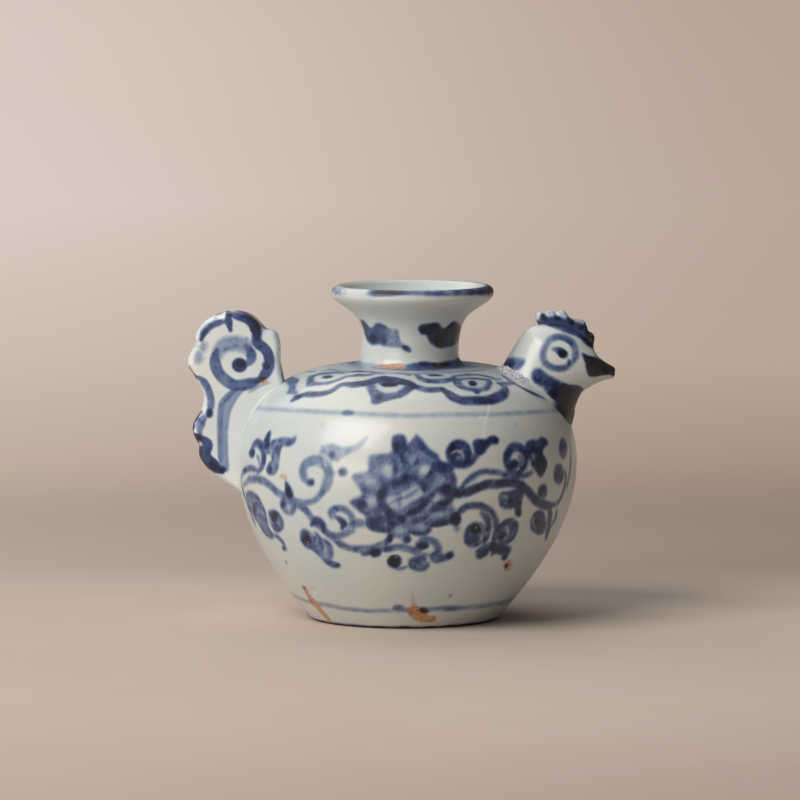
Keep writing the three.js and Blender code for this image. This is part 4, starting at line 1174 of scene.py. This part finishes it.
# Points on the head at shares of the way to the beak and turns from the crown, sunk in by a depth.
def head_points(share, turn, sunk=0.0):
    at = head_at(share)
    middle = (at[..., 0:2] + at[..., 2:4]) / 2
    half = at[..., 0:2] - middle
    size = np.linalg.norm(half, axis=-1)
    tall = np.maximum(size - sunk, BEAK_BORE) / size
    wide = np.maximum(at[..., 4] - sunk, BEAK_BORE)
    x = middle[..., 0] + half[..., 0] * tall * np.cos(turn)
    z = middle[..., 1] + half[..., 1] * tall * np.cos(turn)
    return np.stack([x, -wide * np.sin(turn), z], axis=-1)


# The share of the way to the beak at which each turn about the head comes out of the pot to a distance.
def head_leaves_pot(turn, distance):
    shares = np.linspace(0, 0.7, 90)
    points = head_points(shares[:, None], turn[None, :])
    away = outside_pot(points)
    row = (away > distance).argmax(axis=0)
    row = np.maximum(row, 1)
    column = np.arange(len(turn))
    low, high = away[row - 1, column], away[row, column]
    part = np.clip((distance - low) / np.maximum(high - low, 1e-6), 0, 1)
    return shares[row - 1] + part * (shares[1] - shares[0])


# The outside and the inside of the head, from its root just under the pot's surface to its beak.
def head_grids():
    turn = np.linspace(0, 2 * math.pi, HEAD_COLUMNS + 1)
    start = head_leaves_pot(turn, -ROOT_DEPTH)
    share = start + (1 - start) * np.linspace(0, 1, HEAD_ROWS)[:, None]
    turns = np.broadcast_to(turn, share.shape)
    tip = np.clip((share - 0.955) / 0.045, 0, 1)
    outer = head_points(share, turns, BEAK_ROUNDING * (1 - np.sqrt(1 - tip**2)))
    sunk = HEAD_WALL + 6 * smoothstep(HOLLOW_END - 0.1, HOLLOW_END + 0.02, share)
    inner = head_points(share, turns, sunk)
    return outer, inner


# A closed shell between two open grids of equal size, one outside and one inside.
def shell_faces(rows, columns):
    ring = 2 * columns
    faces = grid_faces(rows, ring).tolist()
    for first, flip in ((0, True), ((rows - 1) * ring, False)):
        for j in range(columns - 1):
            quad = [first + j, first + j + 1, first + ring - 2 - j, first + ring - 1 - j]
            faces.append(quad[::-1] if flip else quad)
    return faces


# The band round the neck, the eye, the beak and the patches on the nape and under the comb.
def paint_head(canvas):
    leaves(canvas, [
        ([(34.1, 65.4), (34.3, 66.3), (35, 67), (36.2, 66.9), (37.5, 66), (39, 64.9), (41, 63.9), (43, 62.9),
          (44.8, 62.4), (46.3, 61.6), (48, 60.6), (48, 52), (44, 51.5), (42.6, 52.8), (42, 54.5), (41, 56.2),
          (39.6, 57.8), (38.5, 59.6), (37.5, 61.6), (36.5, 62.6), (35, 63.4), (34.3, 64.2)], 1.3, 1.5),
        ([(39.8, 63.6), (43, 62.6), (48, 61.3), (48, 51), (44, 51), (42.6, 54), (41, 57), (39.8, 59.6),
          (39, 61.6)],
         1.9, 1.9),
        ([(42.6, 61.6), (48, 60.6), (48, 51), (43.4, 51), (42.6, 55), (41.8, 58.6)], 2.7, 2.7),
        ([(25, 66.6), (26, 68.2), (27, 69.3), (28.4, 69.9), (30.2, 69.7), (32.3, 69.3), (31.8, 68),
          (30.6, 66.9), (29.4, 66.4), (27.8, 66.6), (26.4, 66.4)], 1.0, 1.1),
        ([(24.6, 66.4), (26, 68.4), (27.2, 69.3), (28.6, 69.4), (28.8, 67.4), (27.6, 66.6)], 1.5, 1.5),
        ([(47.7, 71.1), (49.5, 70.4), (51.5, 69.9), (53.5, 69.3), (55.2, 68.6), (58.2, 68), (58.2, 64.9),
          (54.5, 65.5), (52, 65.2), (50, 65), (49.2, 65.5), (48.8, 67), (48.6, 68.6), (48, 70)], 2.8, 2.6),
        ([(36.2, 79.9), (37.8, 78.8), (40, 78), (42, 77.1), (44, 76.4), (46, 75.8), (47.3, 75), (48.2, 73.8),
          (49.6, 72.8), (51.6, 72.4), (52, 76), (47, 80.4), (42, 82), (37, 81.6)], 1.25, 1.2),
        ([(47.4, 75.6), (48.6, 73.8), (50.4, 72.6), (51.8, 73.6), (50.6, 77)], 2.3, 2.3),
        ([(39.3, 72.2), (40.4, 72.8), (42, 72.6), (43.3, 71.7), (43.4, 70.5), (42.5, 69.9), (41.6, 70.5),
          (40.6, 71.4)], 1.3, 1.3),
    ])
    strokes(canvas, [
        ([(45, 68.6), (45.7, 70.2), (45.8, 72), (45, 73.9), (43.4, 75.2), (41.3, 75.6), (39.2, 74.9),
          (37.7, 73.2), (37.1, 71), (37.5, 69), (39, 67.6), (41, 67.1), (43, 67.3), (44.8, 68.2)], 1.35, 0.8),
        ([(44.2, 69.2), (43.9, 68)], 0.7, 1.9),
        ([(41.2, 75.4), (43.4, 74.8), (45, 73.4)], 0.9, 1.0),
        ([(39.4, 67.6), (41.4, 67.1), (43.4, 67.5)], 0.9, 1.1),
    ])
    canvas.blob(42.4, 71, 1.15, 1.0, 2.6)
    # A spot lifted from the band where the head's highlight falls: a painted highlight.
    lifts(canvas, 0.3, [(35.2, 66.2, 0.5, 0.5, 0)])
    # Spots lifted from the dark beak: painted glints.
    lifts(canvas, 0.55, [(51.1, 68.6, 0.45, 0.6, 20), (53.3, 67.4, 0.5, 0.4, 20), (50.2, 66.6, 0.3, 0.4, 20)])
    canvas.fill([(48.4, 70), (51, 69.7), (54, 68.9), (57.4, 67.6), (57.4, 65.2), (52, 65.3),
                 (49.4, 65.6)], 0.6, 0.5,
                "rust")
    canvas.line([(54.8, 68.6), (56.4, 67), (55.6, 65.4)], 1.2, 0.7, 0.4, 0.3, "rust")
    canvas.blob(50.6, 74.2, 0.9, 1.4, 0.7, 0, 0.5, "rust")
    canvas.fill([(43, 56), (44.6, 57.4), (48, 57), (48, 51), (43.4, 51)], 0.12, 1.0, "rust")


# The two pressed halves of the head, which meet in the plane of symmetry.
def make_head(material):
    outer, inner = head_grids()
    canvas = picture_canvas(outer)
    paint_head(canvas)
    canvas.bleed(1, outer, 65)
    half = HEAD_COLUMNS // 2
    sides = {"head_right_half": slice(0, half + 1), "head_left_half": slice(half, HEAD_COLUMNS + 1)}
    for name, columns in sides.items():
        vertices = np.concatenate([outer[:, columns], inner[:, columns][:, ::-1]], axis=1)
        blank = np.zeros((HEAD_ROWS, half + 1))
        pigments = {p: np.concatenate([layer[:, columns], blank], axis=1)
                    for p, layer in canvas.layers().items()}
        faces = shell_faces(HEAD_ROWS, half + 1)
        made(name + "_glazed", vertices.reshape(-1, 3), faces, material, [name], pigments)


# The comb's upper edge: the lobes stand on the crown, and get lower towards the beak.
COMB_LOBE_LINE = [
    (34.9, 80.6), (35.2, 81.9), (36.2, 82.5), (37.1, 82.0), (38.1, 82.5), (39.4, 82.6), (40.4, 82.1),
    (41.4, 82.6), (42.6, 82.7), (43.5, 81.8), (44.2, 80.8), (45.2, 80.5), (47.0, 80.2), (48.2, 79.8),
    (48.8, 78.5), (49.3, 77.2), (50.4, 76.5), (50.9, 75.3), (50.5, 73.4),
]
COMB_STEPS = 120
COMB_SECTION = 36


# The comb is dark, with pale tips to its lobes and worn brown edges at the front.
def paint_comb(canvas):
    canvas.ink[:] = 1.45
    canvas.lift([(34, 83.5), (34.4, 79.8), (36.2, 80.4), (36.6, 81.6), (37.8, 80.9), (39.8, 81), (40.6, 81.6),
                 (41.6, 80.8), (43.4, 80.6), (44.4, 83.5)], 0.88, 0.45)
    canvas.lift([(44.6, 81.5), (44.8, 79.9), (46.6, 79.4), (48, 79), (48.8, 80.5)], 0.75, 0.4)
    blobs(canvas, [(37.3, 80.9, 0.8, 0.9, 2.3), (41, 80.5, 1.0, 0.6, 2.5), (44.8, 79.4, 0.8, 0.8, 2.4),
                   (47.4, 78, 0.9, 0.7, 2.4), (49.6, 75.2, 1.3, 2.2, 2.5), (48.9, 77.6, 0.6, 0.9, 2.2)])
    canvas.fill([(48.4, 78.4), (51.6, 78), (51.6, 72), (49.4, 72.6), (48.8, 75.4)], 0.7, 0.5, "rust")
    canvas.blob(37.2, 81.4, 0.6, 0.7, 0.7, 0, 0.3, "rust")
    canvas.line([(44.6, 80.3), (46.6, 79.9), (48.2, 79.5)], 0.6, 0.35, 0.3, 0.3, "rust")


# The comb, a lobed strip with a rounded section, thinner at its notches.
def make_comb(material):
    top = smooth_line(COMB_LOBE_LINE, 0.1)
    top = top[np.linspace(0, len(top) - 1, COMB_STEPS).round().astype(int)]
    at = head_at(np.linspace(COMB_START, COMB_END, COMB_STEPS))
    back = at[:, 0:2]
    inward = (at[:, 2:4] - back) / np.linalg.norm(at[:, 2:4] - back, axis=1)[:, None]
    foot = back + COMB_FOOTING * inward
    turn = np.linspace(0, 2 * math.pi, COMB_SECTION, endpoint=False)
    rise = 0.5 - 0.5 * np.sign(np.cos(turn)) * np.abs(np.cos(turn)) ** 0.8
    side = np.sign(np.sin(turn)) * np.abs(np.sin(turn)) ** 0.7
    share = np.linspace(0, 1, COMB_STEPS)
    thick = COMB_THICKNESS / 2 * (0.55 + 0.45 * np.sin(math.pi * share) ** 0.4)
    place = foot[:, None] + (top - foot)[:, None] * rise[None, :, None]
    grid = np.stack([place[..., 0], thick[:, None] * side * (1 - 0.25 * rise), place[..., 1]], axis=-1)
    canvas = picture_canvas(grid)
    paint_comb(canvas)
    faces = grid_faces(COMB_STEPS, COMB_SECTION).tolist() + end_caps(COMB_STEPS, COMB_SECTION)
    made("comb_glazed", grid.reshape(-1, 3), faces, material, ["comb"], canvas.layers())


# The tail's lobes from its root up, over and down to the belly, as in the CAD but a little fuller at the
# upper left
TAIL_ROOT = shoulder_point(12.4, -1)
TAIL_LOBES = [
    [(-0.4, -0.6), (-1.5, 5.2), (-1.6, 10.0), (-2.8, 13.0), (-5.5, 14.0)],
    [(-5.5, 14.0), (-8.7, 17.3), (-12.4, 18.6), (-16.4, 18.5)],
    [(-16.4, 18.5), (-20.9, 16.6), (-24.0, 13.2), (-24.6, 9.2)],
    [(-24.6, 9.2), (-26.1, 6.8), (-26.4, 4.1), (-24.4, 0.7), (-22.2, -4.2), (-23.0, -8.3)],
    [(-23.0, -8.3), (-24.9, -11.5), (-25.1, -14.2), (-23.5, -17.5)],
    [(-23.5, -17.5), (-23.3, -20.8), (-20.8, -24.2), (-17.4, -26.9), (-10.9, -31.2)],
]
TAIL_THICKNESS = 6.6
TAIL_EDGE = 1.9
TAIL_STEP = 0.36
TAIL_RINGS = (0.06, 0.2, 0.45, 0.8, 1.2, 1.6)
TAIL_SLIP_ROWS = 160
TAIL_SLIP_TOP = 1.2
TAIL_SLIP_END = 28.0


# The outline of the tail in the plane of symmetry, closed under the pot's surface.
def tail_outline():
    lobes = [smooth_line(np.array(lobe) + TAIL_ROOT, TAIL_STEP)[:-1] for lobe in TAIL_LOBES]
    edge = np.vstack([*lobes, [np.array(TAIL_LOBES[-1][-1]) + TAIL_ROOT]])
    wall = POT_LINE[(POT_LINE[:, 1] > edge[-1, 1]) & (POT_LINE[:, 1] < edge[0, 1])]
    wall = wall - ROOT_DEPTH * outward(wall)
    root = np.column_stack([-wall[:, 0] + BODY_LEAN * wall[:, 1], wall[:, 1]])
    return evenly(np.vstack([edge, root, edge[:1]]), TAIL_STEP)[:-1]


# How far points of the plane are from a closed outline, and whether they are inside it.
def from_outline(points, outline):
    a, b = outline, np.roll(outline, -1, axis=0)
    step = b - a
    rel = points[:, None] - a
    t = np.clip((rel * step).sum(axis=-1) / (step**2).sum(axis=1), 0, 1)
    away = np.linalg.norm(rel - t[..., None] * step, axis=-1).min(axis=1)
    crosses = (a[:, 1] > points[:, 1:2]) != (b[:, 1] > points[:, 1:2])
    rise = np.where(np.abs(step[:, 1]) < 1e-9, 1e-9, step[:, 1])
    where = a[:, 0] + (points[:, 1:2] - a[:, 1]) * step[:, 0] / rise
    within = (crosses & (where > points[:, :1])).sum(axis=1) % 2 == 1
    return away, within


# The tail's border, its spiral and stem, and its wear.
def paint_tail(canvas, depth):
    leaves(canvas, [
        ([(-46.2, 61.4), (-47.8, 59.6), (-49.2, 57.4), (-49.7, 54), (-49.9, 48), (-50, 43), (-49.4, 39.8),
          (-47.6, 39.2), (-47.1, 41), (-47.4, 45), (-47.3, 50), (-46.8, 54.5), (-45.6, 57.6), (-44, 60),
          (-42.6, 62)], 0.5, 0.6),
    ])
    strokes(canvas, [
        ([(-54.5, 75), (-53.8, 76.6), (-52.5, 78.1), (-50.9, 79.1), (-49.4, 79.5), (-48, 79.7)], 1.5, 1.1),
        ([(-54.5, 74.8), (-53.9, 76.3), (-53.1, 77.4)], 1.3, 1.5),
        ([(-47.3, 82.2), (-47.1, 80), (-46.6, 77.4)], 1.6, 1.35),
        ([(-47, 81.8), (-45, 81.4), (-43.5, 81.1), (-42, 80.4), (-40.9, 79.4), (-39.9, 78.2), (-39.5, 76.6),
          (-39.6, 75), (-39.1, 73.7), (-38, 72.9), (-36.9, 71.7), (-36.3, 70), (-36.2, 68.2), (-36.6, 66.8),
          (-37.4, 65.6), (-38.5, 64.4), (-39.6, 63.7)], 2.2, 1.25),
        ([(-41.8, 80.4), (-40.6, 79), (-39.8, 77.2), (-39.6, 75)], 2.4, 1.7),
        ([(-38.4, 64.5), (-39.8, 63.6), (-41.5, 63), (-43.5, 62.6), (-45.5, 62.6), (-47.2, 63.4),
          (-48.9, 64.8), (-50.1, 66.5), (-50.7, 68.4), (-50.7, 70.4), (-50.2, 72)], 2.5, 0.95),
        ([(-42.6, 73.2), (-41.4, 71.8), (-41, 70.2), (-41.6, 68.8), (-42.8, 68)], 2.2, 0.9),
        ([(-44.8, 61.6), (-46.4, 60.4), (-48.2, 58.8), (-49.1, 57), (-49.4, 54), (-49.4, 48),
          (-49.3, 42)], 1.2, 0.7),
        ([(-55.2, 64.7), (-54, 63.8), (-53, 62.3), (-52.3, 60.6), (-51.9, 58.6), (-52, 56.6),
          (-52.4, 55)], 1.5, 0.95),
        ([(-52.6, 54.7), (-53.6, 54), (-54.5, 52.7), (-54.9, 51), (-54.8, 49.4)], 1.8, 0.75),
        ([(-54.9, 48.4), (-53.6, 47.7), (-52.9, 46.6), (-53.4, 45.2), (-53.6, 43.8), (-52.8, 42.4),
          (-51.4, 41.2), (-50, 40.2), (-48.6, 40)], 2.6, 1.5),
        ([(-52, 41.4), (-50.6, 40), (-49, 39.4)], 2.2, 2.1),
    ])
    blobs(canvas, [(-44.2, 68, 2.0, 1.9, 1.6), (-44, 68.4, 1.2, 1.0, 2.0), (-46.9, 81.6, 0.9, 0.7, 2.0),
                   (-43, 81.1, 0.7, 0.5, 1.9), (-52.3, 55.1, 0.9, 1.3, 1.5), (-37, 67.8, 1.1, 1.2, 1.4)])
    canvas.blob(-55.2, 70.2, 1.2, 2.0, 0.4, 0, 0.9)
    canvas.blob(-53.7, 73.2, 1.1, 1.3, 0.35, 0, 0.9)
    speckle(canvas, 23, 14, (-56, -53), (68.6, 74.4), 0.5)
    canvas.fill([(-51.6, 70.5), (-50.8, 73.4), (-48.8, 75.3), (-45.6, 75.9), (-42.6, 75.2), (-40.6, 73.4),
                 (-40.2, 71), (-41.8, 70.2), (-43.6, 71.4), (-46.4, 71.8), (-48.2, 71),
                 (-49.2, 69.6)], 0.5, 0.9)
    speckle(canvas, 19, 40, (-50.5, -41), (71.5, 75.4), 0.75)
    # A pale spot lifted from the stem: a painted highlight.
    canvas.lift(oval(-46.8, 50, 0.8, 0.6), 0.8)
    wear_tail(canvas, depth)


# The worn brown edge of the tail, most of all at its left, and its chips. Depth is how far in from the edge
# it is.
def wear_tail(canvas, depth):
    place = np.stack([canvas.across, canvas.along], axis=-1)
    worn = 1 - smoothstep(0.1, 0.55, depth + 0.25 * waves(place, 3.0, 41))
    left = smoothstep(-43, -50, canvas.across + 0.2 * (canvas.along - 60))
    high = smoothstep(73, 78, canvas.along)
    dark = smoothstep(0.0, 0.5, waves(place, 9.0, 44) + (0.4 - high) * left)
    below = smoothstep(46, 42, canvas.along) * smoothstep(-52, -50, canvas.across)
    above = smoothstep(74, 76, canvas.along) * left
    worn = worn * dark * (0.35 + 0.65 * left) * (1 - below) * (1 - above)
    canvas.cover(1.6 * worn)
    canvas.cover(0.75 * worn, "rust")
    canvas.fill([(-57.4, 50), (-56, 49.4), (-54.8, 47.6), (-54.6, 45.4), (-54.4, 43), (-53, 41),
                 (-51.6, 39.6), (-54, 39), (-58, 44)], 0.7, 0.5, "rust")
    canvas.blob(-56, 48.4, 1.3, 1.2, 1.8)
    canvas.fill([(-41.4, 82.4), (-39.6, 80.8), (-38.2, 79), (-38, 77.4), (-39.4, 77.6), (-40.6, 79.4),
                 (-42.4, 81.2)],
                0.6, 0.4, "rust")
    canvas.fill([(-38.9, 64.6), (-37.6, 64.9), (-36.7, 64.2), (-37, 63.2), (-38.6, 63)], 0.85, 0.3, "rust")
    canvas.line([(-36, 63.4), (-38.4, 62.5), (-40.4, 61.4), (-41.7, 60.6)], 0.3, 0.5)


# The points and faces of a net over the tail in the plane of symmetry, with rings of points along its edge.
# The outline's own points come first.
def tail_net(outline):
    ahead = np.roll(outline, -1, axis=0) - np.roll(outline, 1, axis=0)
    inward = np.column_stack([-ahead[:, 1], ahead[:, 0]]) / np.linalg.norm(ahead, axis=1)[:, None]
    rings = [outline]
    for depth in TAIL_RINGS:
        ring = outline + depth * inward
        away, within = from_outline(ring, outline)
        rings.append(ring[within & (away > 0.93 * depth)])
    low, high = outline.min(axis=0), outline.max(axis=0)
    xs = np.arange(low[0], high[0], TAIL_STEP)
    zs = np.arange(low[1], high[1], TAIL_STEP)
    inner = np.array(np.meshgrid(xs, zs)).reshape(2, -1).T
    away, within = from_outline(inner, outline)
    points = np.vstack([*rings, inner[within & (away > TAIL_EDGE)]])
    count = len(outline)
    edges = [(i, (i + 1) % count) for i in range(count)]
    flat, _, faces, *_ = delaunay_2d_cdt([Vector(p) for p in points], edges, [], 1, 1e-6)
    return np.array([tuple(p) for p in flat]), faces


# The tail: a slab with a worn round edge, slightly uneven on both faces.
def make_tail(material):
    outline = tail_outline()
    count = len(outline)
    flat, faces = tail_net(outline)
    depth, _ = from_outline(flat, outline)
    depth[:count] = 0
    rim = 1 - np.clip(depth / TAIL_EDGE, 0, 1)
    half = TAIL_THICKNESS / 2 * np.sqrt(np.clip(1 - rim**2.4, 0, 1))
    solid = np.column_stack([flat[:, 0], np.zeros(len(flat)), flat[:, 1]])
    sides = []
    for sign, seed in ((-1, 31), (1, 32)):
        side = solid.copy()
        wobble = 0.25 * np.clip(0.5 + 0.25 * waves(solid, 12.0, seed), 0, 1) * smoothstep(0, 2.5, depth)
        side[:, 1] = sign * np.maximum(half - wobble, 0)
        sides.append(side)
    canvas = picture_canvas(sides[0])
    paint_tail(canvas, depth)
    inner_index = np.arange(count, len(flat))
    vertices = np.vstack([sides[0], sides[1][inner_index]])
    shift = np.arange(len(flat))
    shift[inner_index] += len(flat) - count
    near = [list(f) for f in faces]
    far = [[int(shift[i]) for i in f][::-1] for f in faces]
    pigments = {p: np.concatenate([layer, layer[inner_index]]) for p, layer in canvas.layers().items()}
    made("tail_glazed", vertices, near + far, material, ["tail"], pigments)


# Vectors made one millimetre long.
def unit(vectors):
    return vectors / np.maximum(np.linalg.norm(vectors, axis=-1, keepdims=True), 1e-6)


# A fillet of slip between two lines of points in a corner. Fullness is 0 where its face is hollow, a half
# where it is flat, and 1 or more where it bulges. Grit makes it rough and unglazed, and stain brown.
def fillet(name, upper, corner, lower, fullness, material, replaced, closed, grit, stain):
    middle = (upper + lower) / 2
    control = corner + (0.25 + 1.5 * fullness[:, None]) * (middle - corner)
    t = np.linspace(0, 1, FILLET_SECTION)[:, None, None]
    face = (1 - t) ** 2 * upper + 2 * (1 - t) * t * control + t**2 * lower
    back = corner - 0.5 * unit(middle - corner)
    grid = np.concatenate([face, back[None]]).transpose(1, 0, 2)
    rough = waves(grid, 1.5, 51) * 0.5 + waves(grid, 0.7, 52) * 0.5
    lift = (rough * grit[:, None])[..., None] * unit(middle - corner)[:, None]
    lift[:, -1] = 0
    grid = grid + lift
    rows, columns = grid.shape[:2]
    faces = grid_faces(rows, columns).tolist()
    faces += joined_ends(rows, columns) if closed else end_caps(rows, columns)
    pigments = {"ink": np.repeat(2.6 * stain[:, None], columns, axis=1),
                "rust": np.repeat(0.25 * stain[:, None], columns, axis=1),
                "bare": np.repeat(smoothstep(0.06, 0.14, grit)[:, None], columns, axis=1)}
    return made(name, grid.reshape(-1, 3), faces, material, replaced, pigments, crease=80)


# Points moved on to the pot's surface, and then out of it by a lift.
def on_pot(points, lift):
    step = 0.05
    for _ in range(4):
        away = outside_pot(points)
        slope = np.stack([outside_pot(points + step * np.eye(3)[i]) - away for i in range(3)], axis=-1) / step
        points = points + unit(slope) * (lift - away)[..., None]
    return points


# A smooth hump over turns, with its middle and width in degrees. A higher power makes it broader at the top.
def hump(turn, middle, width, power=2):
    return np.exp(-(((turn - math.radians(middle)) / math.radians(width)) ** power))


# The fillet round the root of the head. It is a gritty crust by the nape, and a dark lip under the throat.
def make_head_slip(material):
    turn = np.linspace(0, 2 * math.pi, HEAD_SLIP_STEPS, endpoint=False)
    share = head_leaves_pot(turn, 0.0)
    corner = head_points(share, turn)
    wide = 1.0 + 0.25 * np.sin(5 * turn + 1) + 0.2 * np.sin(13 * turn)
    crust = hump(turn, 36, 36, 4) + 0.5 * hump(turn, 322, 26)
    heel = hump(turn, 58, 18)
    lip = hump(turn, 180, 38)
    upper = head_points(head_leaves_pot(turn, 0.9 + 0.6 * crust + 1.8 * lip), turn, SLIP_SUNK)
    spread = 1.0 + 0.4 * wide + 1.2 * crust + 1.2 * heel + 0.3 * lip
    lower = on_pot(head_points(share, turn, -spread), np.full(len(turn), -SLIP_SUNK))
    fullness = 0.25 * crust + 1.2 * lip
    lines = [line[::-1] for line in (upper, corner, lower, fullness)]
    fillet("head_slip_glazed", *lines, material, ["head_slip_fillet"], True, (0.02 + 0.18 * crust)[::-1],
           smoothstep(0.02, 0.15, lip)[::-1])


# The fillets along both sides of the tail's root.
def make_tail_slip(material):
    for side, name in ((1, "tail_slip_left"), (-1, "tail_slip_right")):
        height = np.linspace(TAIL_ROOT[1] - TAIL_SLIP_TOP, TAIL_ROOT[1] - TAIL_SLIP_END, TAIL_SLIP_ROWS)
        radius = np.interp(height, POT_LINE[BELLY_ROW - 60:, 1], POT_LINE[BELLY_ROW - 60:, 0])
        near = TAIL_THICKNESS / 2 - 0.15
        plain = np.zeros(TAIL_SLIP_ROWS)
        corner = np.column_stack([BODY_LEAN * height - np.sqrt(radius**2 - near**2),
                                  plain + side * near, height])
        down = np.linspace(0, 1, TAIL_SLIP_ROWS)
        wide = 0.9 + 0.12 * np.sin(11 * down) + 0.06 * np.sin(31 * down)
        fade = np.sin(math.pi * down) ** 0.3
        upper = corner + np.column_stack([-(0.2 + wide) * fade, plain - side * 0.1, plain])
        lower = on_pot(corner + np.column_stack([plain, side * (wide * fade + 0.2), plain]),
                       plain - SLIP_SUNK)
        lines = (upper, corner, lower) if side > 0 else (upper[::-1], corner[::-1], lower[::-1])
        fillet(name + "_glazed", *lines, plain + 0.02, material, [name], False, plain + 0.02, plain)


# The floor, a flat square that the dropper stands on.
def make_floor():
    corners = [(-1, -1, 0), (1, -1, 0), (1, 1, 0), (-1, 1, 0)]
    mesh = bpy.data.meshes.new("floor")
    mesh.from_pydata([[FLOOR_REACH * v for v in p] for p in corners], [], [(0, 1, 2, 3)])
    floor = bpy.data.objects.new("floor", mesh)
    bpy.context.scene.collection.objects.link(floor)
    mesh.materials.append(pale_cloth())


# Pale cloth. Far from the dropper it has its own light, as the studio's backdrop, for the camera and for what
# mirrors it, and it is brighter on the left. Just behind the dropper it is painted darker, most on the right:
# painted shade. Far is the distance from the foot in metres.
def pale_cloth():
    material, tree, place = empty_material("studio_floor")
    far = node(tree, "ShaderNodeVectorMath", {0: place}, operation="LENGTH").outputs["Value"]
    mottle = noise(tree, place, 30.0, 4.0)
    colour = mixed(tree, mottle, shade(210, 194, 181), shade(204, 187, 173))
    parts = node(tree, "ShaderNodeSeparateXYZ", {0: place}).outputs
    sideways = maths(tree, "DIVIDE", parts["X"], maths(tree, "ADD", far, WIDENS_FROM))
    across = between(tree, sideways, -0.08, 0.075)
    # Painted shade: the cloth just behind the dropper is darker, most on the right.
    behind = mixed(tree, across, shade(199, 183, 171), shade(178, 161, 149))
    colour = mixed(tree, between(tree, parts["Y"], *BEHIND), colour, behind)
    cloth = node(tree, "ShaderNodeBsdfDiffuse", {"Color": colour}).outputs["BSDF"]
    away = maths(tree, "POWER", maths(tree, "DIVIDE", far, BACKDROP_AWAY), 0.5)
    left = ramp(tree, away, [
        (0.18, shade(166, 148, 136)),
        (0.24, shade(187, 170, 156)),
        (0.37, shade(204, 188, 177)),
        (0.55, shade(219, 205, 196)),
        (1.0, shade(216, 199, 190)),
    ])
    right = ramp(tree, away, [
        (0.18, shade(142, 122, 109)),
        (0.24, shade(158, 139, 126)),
        (0.37, shade(183, 165, 151)),
        (0.55, shade(184, 167, 153)),
        (1.0, shade(180, 162, 148)),
    ])
    glow_colour = mixed(tree, across, left, right)
    glow = node(tree, "ShaderNodeEmission", {"Color": glow_colour, "Strength": 1.0}).outputs["Emission"]
    rays = node(tree, "ShaderNodeLightPath").outputs
    mirrored = maths(tree, "MAXIMUM", rays["Is Glossy Ray"], rays["Is Transmission Ray"])
    seen = maths(tree, "MAXIMUM", rays["Is Camera Ray"], mirrored)
    share = maths(tree, "MULTIPLY", between(tree, far, *BACKDROP), seen)
    surface = node(tree, "ShaderNodeMixShader", {0: share, 1: cloth, 2: glow}).outputs["Shader"]
    node(tree, "ShaderNodeOutputMaterial", {"Surface": surface})
    return material


# A large soft lamp that looks at the dropper, with its turn from the front and its height in degrees, its
# distance and two sizes in metres, and its power in watts.
def soft_lamp(name, turn, height, distance, wide, tall, power, colour):
    lamp = bpy.data.lights.new(name, "AREA")
    lamp.shape = "RECTANGLE"
    lamp.size = wide
    lamp.size_y = tall
    lamp.energy = power
    lamp.color = colour
    holder = bpy.data.objects.new(name, lamp)
    a, h = math.radians(turn), math.radians(height)
    away = np.array([math.sin(a) * math.cos(h), -math.cos(a) * math.cos(h), math.sin(h)]) * distance
    aim_from(holder, away + LIT_POINT, LIT_POINT)
    bpy.context.scene.collection.objects.link(holder)


# Sets an object at a point in metres, looking at another.
def aim_from(holder, eye, target):
    holder.location = eye
    holder.rotation_euler = Vector(target - eye).to_track_quat("-Z", "Y").to_euler()


# A key lamp at the upper left, one behind, a weak one low down, and a faint even light from all sides.
def light_studio():
    soft_lamp("key_lamp", -46, 41, 1.3, 0.9, 0.8, 13.2, WARM_WHITE)
    soft_lamp("back_lamp", -150, 58, 1.5, 1.5, 1.5, 8.6, WARMER_WHITE)
    soft_lamp("low_lamp", -38, 5, 1.3, 0.7, 0.3, 2.5, WARM_WHITE)
    world = bpy.data.worlds.new("studio")
    world.use_nodes = True
    background = world.node_tree.nodes["Background"]
    background.inputs["Color"].default_value = SKY_WHITE
    background.inputs["Strength"].default_value = SKY_STRENGTH
    bpy.context.scene.world = world
    bpy.context.scene.view_settings.view_transform = "Standard"


# The camera where the photograph was taken from.
def set_camera():
    camera = bpy.data.cameras.new("camera")
    camera.lens = LENS
    camera.sensor_width = SENSOR
    camera.clip_end = FARTHEST
    holder = bpy.data.objects.new("camera", camera)
    aim_from(holder, EYE * MM, TARGET * MM)
    bpy.context.scene.collection.objects.link(holder)
    bpy.context.scene.camera = holder


set_camera()
light_studio()
make_floor()
make_pot(porcelain("body_porcelain"))
make_neck(porcelain("neck_porcelain"))
make_head(porcelain("head_porcelain"))
make_comb(porcelain("comb_porcelain"))
make_tail(porcelain("tail_porcelain", TAIL_GLAZE, TAIL_COOL_GLAZE))
make_head_slip(porcelain("slip_porcelain", biscuit=SLIP_BISCUIT))
make_tail_slip(porcelain("tail_slip_porcelain"))
